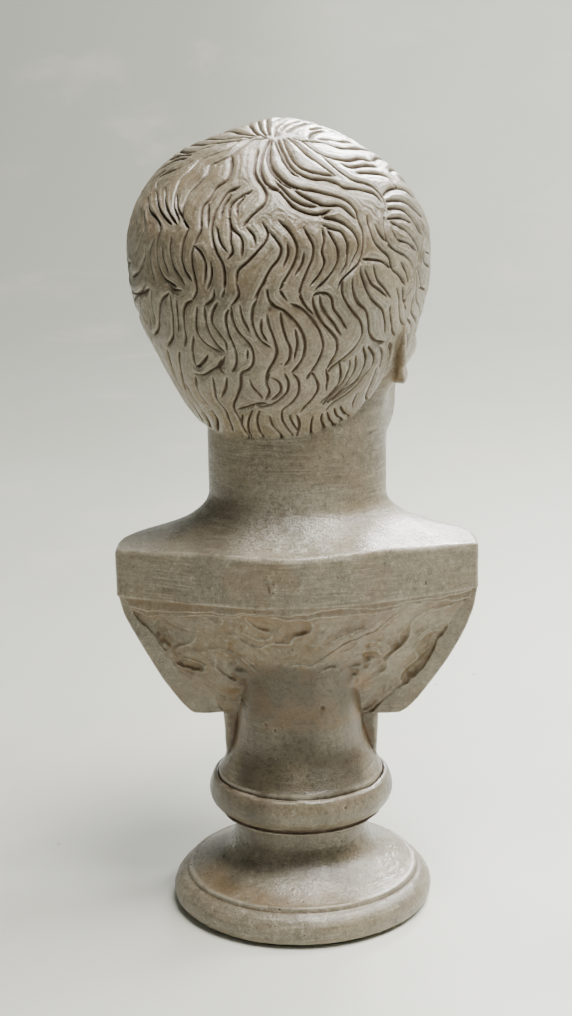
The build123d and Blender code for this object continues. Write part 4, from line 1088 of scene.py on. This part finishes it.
# ---------------------------------------------------------------- materials
class Nodes:
    """A short way to write a node tree."""

    def __init__(self, name):
        self.mat = bpy.data.materials.new(name)
        self.mat.use_nodes = True
        self.t = self.mat.node_tree
        self.bsdf = self.t.nodes["Principled BSDF"]
        self.co = self.t.nodes.new("ShaderNodeTexCoord").outputs["Object"]

    def put(self, socket, value):
        if hasattr(value, "links"):
            self.t.links.new(value, socket)
        else:
            socket.default_value = value

    def stretch(self, scale, turn=(0, 0, 0), shift=(0, 0, 0)):
        n = self.t.nodes.new("ShaderNodeMapping")
        n.inputs["Scale"].default_value = scale
        n.inputs["Rotation"].default_value = turn
        n.inputs["Location"].default_value = shift
        self.t.links.new(self.co, n.inputs["Vector"])
        return n.outputs[0]

    def noise(self, scale, detail=3.0, rough=0.5, twist=0.0, vec=None, shift=(0, 0, 0)):
        n = self.t.nodes.new("ShaderNodeTexNoise")
        v = vec if vec is not None else (self.stretch((1, 1, 1), shift=shift) if any(shift) else self.co)
        self.t.links.new(v, n.inputs["Vector"])
        n.inputs["Scale"].default_value = scale
        n.inputs["Detail"].default_value = detail
        n.inputs["Roughness"].default_value = rough
        n.inputs["Distortion"].default_value = twist
        return n.outputs["Fac"]

    def cells(self, scale, vec=None, randomness=1.0):
        n = self.t.nodes.new("ShaderNodeTexVoronoi")
        self.t.links.new(vec if vec is not None else self.co, n.inputs["Vector"])
        n.inputs["Scale"].default_value = scale
        n.inputs["Randomness"].default_value = randomness
        return n.outputs["Distance"]

    def ramp(self, v, a, b, lo=0.0, hi=1.0):
        n = self.t.nodes.new("ShaderNodeMapRange")
        n.interpolation_type = "SMOOTHSTEP"
        self.t.links.new(v, n.inputs["Value"])
        for k, x in zip(("From Min", "From Max", "To Min", "To Max"), (a, b, lo, hi)):
            n.inputs[k].default_value = x
        return n.outputs["Result"]

    def math(self, op, a, b=None):
        n = self.t.nodes.new("ShaderNodeMath")
        n.operation = op
        self.put(n.inputs[0], a)
        if b is not None:
            self.put(n.inputs[1], b)
        return n.outputs[0]

    def mul(self, a, b):
        return self.math("MULTIPLY", a, b)

    def add(self, a, b):
        return self.math("ADD", a, b)

    def mix(self, a, b, fac):
        n = self.t.nodes.new("ShaderNodeMix")
        n.data_type = "RGBA"
        self.put(n.inputs[0], fac)
        for s, v in ((n.inputs[6], a), (n.inputs[7], b)):
            self.put(s, v if hasattr(v, "links") else (*v, 1.0))
        return n.outputs[2]

    def field(self, name):
        n = self.t.nodes.new("ShaderNodeAttribute")
        n.attribute_name = name
        return n.outputs["Fac"]

    def bump(self, height, distance, strength=1.0, under=None):
        n = self.t.nodes.new("ShaderNodeBump")
        self.t.links.new(height, n.inputs["Height"])
        n.inputs["Distance"].default_value = distance
        n.inputs["Strength"].default_value = strength
        if under is not None:
            self.t.links.new(under, n.inputs["Normal"])
        return n.outputs["Normal"]

    def finish(self, colour, rough, normal=None, **fixed):
        self.put(self.bsdf.inputs["Base Color"], colour)
        self.put(self.bsdf.inputs["Roughness"], rough)
        if normal is not None:
            self.t.links.new(normal, self.bsdf.inputs["Normal"])
            self.t.links.new(normal, self.bsdf.inputs["Coat Normal"])
        for k, v in fixed.items():
            self.bsdf.inputs[k.replace("_", " ")].default_value = v
        return self.mat


def aged_marble(name, carved=True):
    n = Nodes(name)
    # body of the stone: cream clouded with grey
    cloud = n.ramp(n.noise(24.0, 4.0, 0.55, 0.3), 0.36, 0.64)
    c = n.mix((0.218, 0.178, 0.110), (0.150, 0.131, 0.090), cloud)
    fine = n.ramp(n.noise(150.0, 5.0, 0.6), 0.3, 0.7)
    c = n.mix(c, (0.275, 0.236, 0.166), n.mul(fine, 0.45))
    mottle = n.noise(430.0, 4.0, 0.62, shift=(0.6, 1.1, 0.2))
    c = n.mix(c, (0.072, 0.056, 0.034), n.ramp(mottle, 0.50, 0.68, 0.0, 0.52))
    c = n.mix(c, (0.440, 0.395, 0.310), n.ramp(mottle, 0.46, 0.26, 0.0, 0.46))
    sand = n.noise(1350.0, 2.0, 0.7)
    c = n.mix(c, (0.066, 0.050, 0.030), n.ramp(sand, 0.54, 0.68, 0.0, 0.50))
    c = n.mix(c, (0.480, 0.440, 0.350), n.ramp(sand, 0.44, 0.26, 0.0, 0.40))
    # ochre and rose stains
    ochre = n.ramp(n.noise(33.0, 5.0, 0.6, 0.8, shift=(1.3, 0.7, 2.1)), 0.53, 0.72)
    c = n.mix(c, (0.200, 0.132, 0.066), n.mul(ochre, 0.40))
    rose = n.ramp(n.noise(26.0, 4.0, 0.55, 0.5, shift=(4.1, 2.2, 0.4)), 0.55, 0.75)
    c = n.mix(c, (0.205, 0.125, 0.092), n.mul(rose, 0.36))
    # rubbed lines that run round the figure
    lines = n.noise(1.0, 4.0, 0.65, 0.0, vec=n.stretch((75.0, 75.0, 1300.0), turn=(0.02, 0.03, 0.0)))
    lines2 = n.noise(1.0, 3.0, 0.6, 0.0, vec=n.stretch((28.0, 28.0, 420.0), turn=(0.03, -0.04, 0.0)))
    streak = n.ramp(n.add(n.mul(lines, 0.6), n.mul(lines2, 0.4)), 0.44, 0.63)
    where = n.ramp(n.noise(38.0, 3.0, 0.55, 0.3, shift=(0.9, 1.7, 0.3)), 0.34, 0.62)
    if carved:
        where = n.mul(where, n.field("brush"))
    streak = n.mul(streak, where)
    dash = n.ramp(n.noise(1.0, 3.0, 0.6, 0.3, vec=n.stretch((190.0, 190.0, 1250.0), turn=(0.05, -0.06, 0.0))), 0.56, 0.68)
    dash = n.mul(dash, n.ramp(n.noise(42.0, 3.0, 0.55, 0.3, shift=(5.9, 0.7, 3.3)), 0.48, 0.66))
    c = n.mix(c, (0.125, 0.064, 0.040), n.mul(dash, n.mul(n.field("brush"), 0.70) if carved else 0.5))
    c = n.mix(c, (0.074, 0.052, 0.030), n.mul(streak, 0.46))
    light = n.mul(n.ramp(lines, 0.50, 0.30), where)
    c = n.mix(c, (0.410, 0.370, 0.290), n.mul(light, 0.42))
    # grey-green smoke with speckles
    smoke = n.field("smoke") if carved else n.ramp(n.noise(19.0, 3.0, 0.5, 0.4, shift=(0.35, 3.3, 1.65)), 0.50, 0.70)
    smoke = n.mul(smoke, n.ramp(n.noise(95.0, 5.0, 0.6, 0.3, shift=(0.2, 0.4, 7.0)), 0.22, 0.60, 0.80, 1.0))
    speck = n.ramp(n.noise(620.0, 2.0, 0.6), 0.52, 0.64)
    c = n.mix(c, (0.060, 0.049, 0.029), n.mul(smoke, 0.92))
    c = n.mix(c, (0.038, 0.029, 0.017), n.mul(n.mul(speck, smoke), 0.66))
    # pinholes
    hole = n.ramp(n.cells(170.0), 0.075, 0.040)
    sparse = n.ramp(n.noise(60.0, 2.0, shift=(2.0, 1.0, 5.0)), 0.50, 0.60)
    hole = n.mul(hole, sparse)
    c = n.mix(c, (0.060, 0.042, 0.025), n.mul(hole, 0.8))
    grain = n.noise(2300.0, 2.0, 0.6)
    rough = n.add(n.ramp(n.noise(45.0, 4.0, 0.6, shift=(0.0, 5.0, 1.0)), 0.3, 0.7, 0.24, 0.44), n.mul(streak, 0.10))
    height = n.add(n.add(n.mul(n.mul(lines, where), 0.75), n.mul(grain, 0.18)), n.add(n.mul(sand, 0.80), n.mul(mottle, 0.6)))
    if carved:
        cav, glaze, worn = n.field("cavity"), n.field("glaze"), n.field("worn")
        patch = n.ramp(n.noise(85.0, 5.0, 0.62, 0.6, shift=(3.0, 0.2, 0.9)), 0.34, 0.66)
        g = n.mul(glaze, n.add(n.mul(patch, 0.80), 0.18))
        c = n.mix(c, (0.165, 0.094, 0.033), g)
        # worn: lighter colour on raised edges and ridges, partly rubbed wear and partly painted highlight
        c = n.mix(c, (0.450, 0.400, 0.308), n.mul(n.mul(worn, n.ramp(n.noise(120.0, 3.0), 0.3, 0.6)), 0.55))
        # cavity: dark brown patina in the carved lines and pits, painted shade in the recesses, the ear gaps and under
        # the socle's bead
        uneven = n.ramp(n.noise(210.0, 3.0, 0.6), 0.22, 0.60, 0.55, 1.0)
        d = n.mul(n.ramp(cav, 0.05, 0.75), uneven)
        c = n.mix(c, (0.058, 0.027, 0.009), n.mul(d, 0.96))
        rough = n.add(rough, n.mul(d, 0.30))
        height = n.add(height, n.mul(n.mul(glaze, n.noise(520.0, 4.0, 0.65)), 1.2))
        # painted highlight: a lighter, speckled colour on the shoulder tops, the crown and the front of the cone, with
        # lower roughness and a stronger fine bump there
        polish = n.field("polish")
        spark = n.noise(980.0, 2.0, 0.65, shift=(0.4, 0.1, 3.7))
        c = n.mix(c, (0.58, 0.545, 0.455), n.mul(polish, n.ramp(spark, 0.38, 0.60, 0.22, 0.95)))
        rough = n.add(rough, n.mul(polish, -0.10))
        height = n.add(height, n.mul(n.mul(polish, spark), 2.6))
    height = n.add(height, n.mul(hole, -2.5))
    return n.finish(c, rough, n.bump(height, 0.00022, 1.0), Specular_IOR_Level=0.55, Coat_Weight=0.16, Coat_Roughness=0.16)


def wool_baize(name):
    n = Nodes(name)
    fibre = n.noise(1.0, 4.0, 0.7, 0.6, vec=n.stretch((2600.0, 700.0, 1500.0), turn=(0, 0, 0.6)))
    nap = n.noise(900.0, 4.0, 0.7)
    wear = n.ramp(n.noise(70.0, 3.0), 0.4, 0.7)
    c = n.mix((0.030, 0.050, 0.028), (0.075, 0.105, 0.060), n.ramp(fibre, 0.3, 0.7))
    c = n.mix(c, (0.120, 0.125, 0.085), n.mul(wear, 0.35))
    return n.finish(c, n.ramp(nap, 0.2, 0.8, 0.85, 1.0), n.bump(n.add(fibre, nap), 0.0004, 0.8),
                    Sheen_Weight=0.4, Sheen_Roughness=0.5, Specular_IOR_Level=0.2)


def rubbed_bronze(name):
    n = Nodes(name)
    turn = n.noise(1.0, 3.0, 0.6, 0.0, vec=n.stretch((120.0, 120.0, 6000.0)))
    tarnish = n.ramp(n.noise(170.0, 5.0, 0.6, 0.4), 0.42, 0.68)
    c = n.mix((0.62, 0.40, 0.17), (0.50, 0.33, 0.15), n.ramp(turn, 0.3, 0.7))
    c = n.mix(c, (0.16, 0.10, 0.05), n.mul(tarnish, 0.6))
    return n.finish(c, n.add(n.ramp(turn, 0.3, 0.7, 0.24, 0.36), n.mul(tarnish, 0.28)), n.bump(turn, 0.00004, 0.8), Metallic=1.0)


def turned_steel(name):
    n = Nodes(name)
    turn = n.noise(1.0, 3.0, 0.6, 0.0, vec=n.stretch((90.0, 90.0, 5200.0)))
    dull = n.ramp(n.noise(140.0, 4.0, 0.6), 0.4, 0.7)
    rust = n.ramp(n.noise(310.0, 5.0, 0.65, 0.5, shift=(2, 2, 2)), 0.62, 0.74)
    c = n.mix((0.56, 0.56, 0.55), (0.42, 0.42, 0.41), n.ramp(turn, 0.3, 0.7))
    c = n.mix(c, (0.28, 0.27, 0.25), n.mul(dull, 0.5))
    c = n.mix(c, (0.22, 0.10, 0.045), n.mul(rust, 0.7))
    return n.finish(c, n.add(n.ramp(turn, 0.3, 0.7, 0.26, 0.38), n.mul(n.add(dull, rust), 0.2)), n.bump(turn, 0.00004, 0.8), Metallic=1.0)


def matt_sheet(name):
    n = Nodes(name)
    roll = n.noise(1.0, 3.0, 0.6, 0.2, vec=n.stretch((900.0, 120.0, 400.0)))
    blot = n.ramp(n.noise(90.0, 4.0, 0.6), 0.4, 0.7)
    dust = n.ramp(n.noise(700.0, 3.0, 0.6), 0.56, 0.70)
    c = n.mix((0.66, 0.62, 0.52), (0.58, 0.54, 0.44), n.ramp(roll, 0.3, 0.7))
    c = n.mix(c, (0.47, 0.42, 0.33), n.mul(blot, 0.5))
    c = n.mix(c, (0.72, 0.70, 0.64), n.mul(dust, 0.5))
    return n.finish(c, n.ramp(blot, 0.0, 1.0, 0.62, 0.74), n.bump(roll, 0.00006, 0.7), Specular_IOR_Level=0.4)


def poured_grout(name):
    n = Nodes(name)
    sand = n.noise(1500.0, 3.0, 0.6)
    blot = n.ramp(n.noise(130.0, 5.0, 0.6), 0.35, 0.65)
    void = n.mul(n.ramp(n.cells(420.0), 0.16, 0.08), n.ramp(n.noise(150.0, 2.0), 0.5, 0.62))
    c = n.mix((0.34, 0.33, 0.30), (0.46, 0.44, 0.40), blot)
    c = n.mix(c, (0.58, 0.56, 0.52), n.mul(n.ramp(sand, 0.55, 0.7), 0.5))
    c = n.mix(c, (0.12, 0.11, 0.10), void)
    return n.finish(c, n.ramp(sand, 0.3, 0.7, 0.80, 0.95), n.bump(n.add(sand, n.mul(void, -2.0)), 0.00025, 0.9), Specular_IOR_Level=0.3)


FINISH = {"marble": aged_marble("aged_marble"), "baize": wool_baize("wool_baize"), "bronze": rubbed_bronze("rubbed_bronze"),
          "steel": turned_steel("turned_steel"), "shim": matt_sheet("matt_sheet"), "grout": poured_grout("poured_grout")}
PLAIN_MARBLE = aged_marble("aged_marble_plain", carved=False)
NODE_FINISH = {"base_pad": "baize", "seat_shim": "shim", "pivot_bush": "bronze", "thrust_washer": "steel", "disc_spring": "steel",
               "hex_nut": "steel", "lock_nut": "steel", "pivot_stud": "steel", "anchor_sleeve": "bronze", "anchor_grout": "grout"}
for name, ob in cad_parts.items():
    m = FINISH[NODE_FINISH[name]] if name in NODE_FINISH else PLAIN_MARBLE
    if len(ob.material_slots):
        for s in ob.material_slots:
            s.material = m
    else:
        ob.data.materials.append(m)
bust.data.materials.append(FINISH["marble"])
socle.data.materials.append(FINISH["marble"])


# ---------------------------------------------------------------- floor and light
def stage():
    me = bpy.data.meshes.new("floor")
    rows = [(y, 0.0) for y in (2.4, 1.2, 0.4, -0.4, -1.0, -1.6)]
    for i in range(1, 15):
        a = math.radians(i * 90.0 / 14)
        rows.append((-1.6 - 1.5 * math.sin(a), 1.5 * (1 - math.cos(a))))
    rows.append((-3.1, 5.0))
    verts = [(x, y, z) for y, z in rows for x in (-4.0, 4.0)]
    faces = [(2 * i, 2 * i + 1, 2 * i + 3, 2 * i + 2) for i in range(len(rows) - 1)]
    me.from_pydata(verts, [], faces)
    me.polygons.foreach_set("use_smooth", [True] * len(me.polygons))
    ob = bpy.data.objects.new("floor", me)
    bpy.context.scene.collection.objects.link(ob)
    n = Nodes("pale_floor")
    wash = n.ramp(n.noise(3.2, 4.0, 0.55, 0.3), 0.35, 0.65)
    warm = n.ramp(n.noise(5.5, 4.0, 0.6, 0.4, shift=(2.2, 0.4, 0.0)), 0.52, 0.74)
    fleck = n.mul(n.ramp(n.cells(42.0), 0.055, 0.030), n.ramp(n.noise(13.0, 1.0), 0.52, 0.60))
    c = n.mix((0.80, 0.808, 0.722), (0.74, 0.752, 0.680), wash)
    part = n.t.nodes.new("ShaderNodeSeparateXYZ")
    n.t.links.new(n.co, part.inputs[0])
    # painted shade: the floor darker towards +x, the side away from the key light
    c = n.mix(c, (0.40, 0.405, 0.355), n.ramp(part.outputs[0], -0.14, 0.16, 0.0, 0.62))
    # painted shade: floor and backdrop darker towards the back
    c = n.mix(c, (0.40, 0.405, 0.365), n.ramp(part.outputs[1], -0.30, -1.20, 0.0, 0.46))
    c = n.mix(c, (0.80, 0.755, 0.685), n.mul(warm, 0.28))
    c = n.mix(c, (0.30, 0.29, 0.27), n.mul(fleck, 0.55))
    ob.data.materials.append(n.finish(c, n.ramp(wash, 0.0, 1.0, 0.50, 0.62), Specular_IOR_Level=0.35))
    return ob


def area(name, loc, target, size, power, colour=(1, 1, 1)):
    li = bpy.data.lights.new(name, "AREA")
    li.shape, li.size, li.energy, li.color = "DISK", size, power, colour
    ob = bpy.data.objects.new(name, li)
    ob.location = loc
    ob.rotation_euler = (Vector(target) - Vector(loc)).to_track_quat("-Z", "Y").to_euler()
    bpy.context.scene.collection.objects.link(ob)
    return ob


floor = stage()
area("key", (-0.38, 0.26, 1.60), (0, 0, 0.15), 0.90, 60.0, (1.0, 0.985, 0.95))
area("back_wall", (-1.9, -1.0, 1.9), (-0.5, -2.4, 0.8), 1.2, 125.0, (1.0, 1.0, 0.97))
for name, loc, size, power in (("gloss", (-0.14, -0.80, 1.38), 0.60, 30.0), ("side_gloss", (-0.52, -1.42, 1.14), 0.50, 70.0)):
    gloss = area(name, loc, (0, 0, 0.15), size, power, (1.0, 0.995, 0.98))
    gloss.visible_diffuse = False
    gloss.visible_camera = False
world = bpy.data.worlds.new("world")
bpy.context.scene.world = world
world.use_nodes = True
world.node_tree.nodes["Background"].inputs["Color"].default_value = (0.86, 0.87, 0.85, 1)
world.node_tree.nodes["Background"].inputs["Strength"].default_value = 0.165
# ---------------------------------------------------------------- camera
def place_camera():
    cam = bpy.data.cameras.new("camera")
    ob = bpy.data.objects.new("camera", cam)
    bpy.context.scene.collection.objects.link(ob)
    cam.lens, cam.sensor_width, cam.sensor_fit = 1800.0 / 1016.0 * 36.0, 36.0, "AUTO"
    pitch, roll = math.radians(13.3), math.radians(1.1)
    fwd = Vector((0, -math.cos(pitch), -math.sin(pitch)))
    up = Vector((0, -math.sin(pitch), math.cos(pitch)))
    right = Vector((-1, 0, 0))
    r2 = right * math.cos(roll) - up * math.sin(roll)
    u2 = up * math.cos(roll) + right * math.sin(roll)
    m = Matrix((r2, u2, -fwd)).transposed().to_4x4()
    m.translation = Vector((3.8, 659.4, 312.0)) * MM
    ob.matrix_world = m
    cam.clip_start, cam.clip_end = 0.02, 30.0
    bpy.context.scene.camera = ob


place_camera()
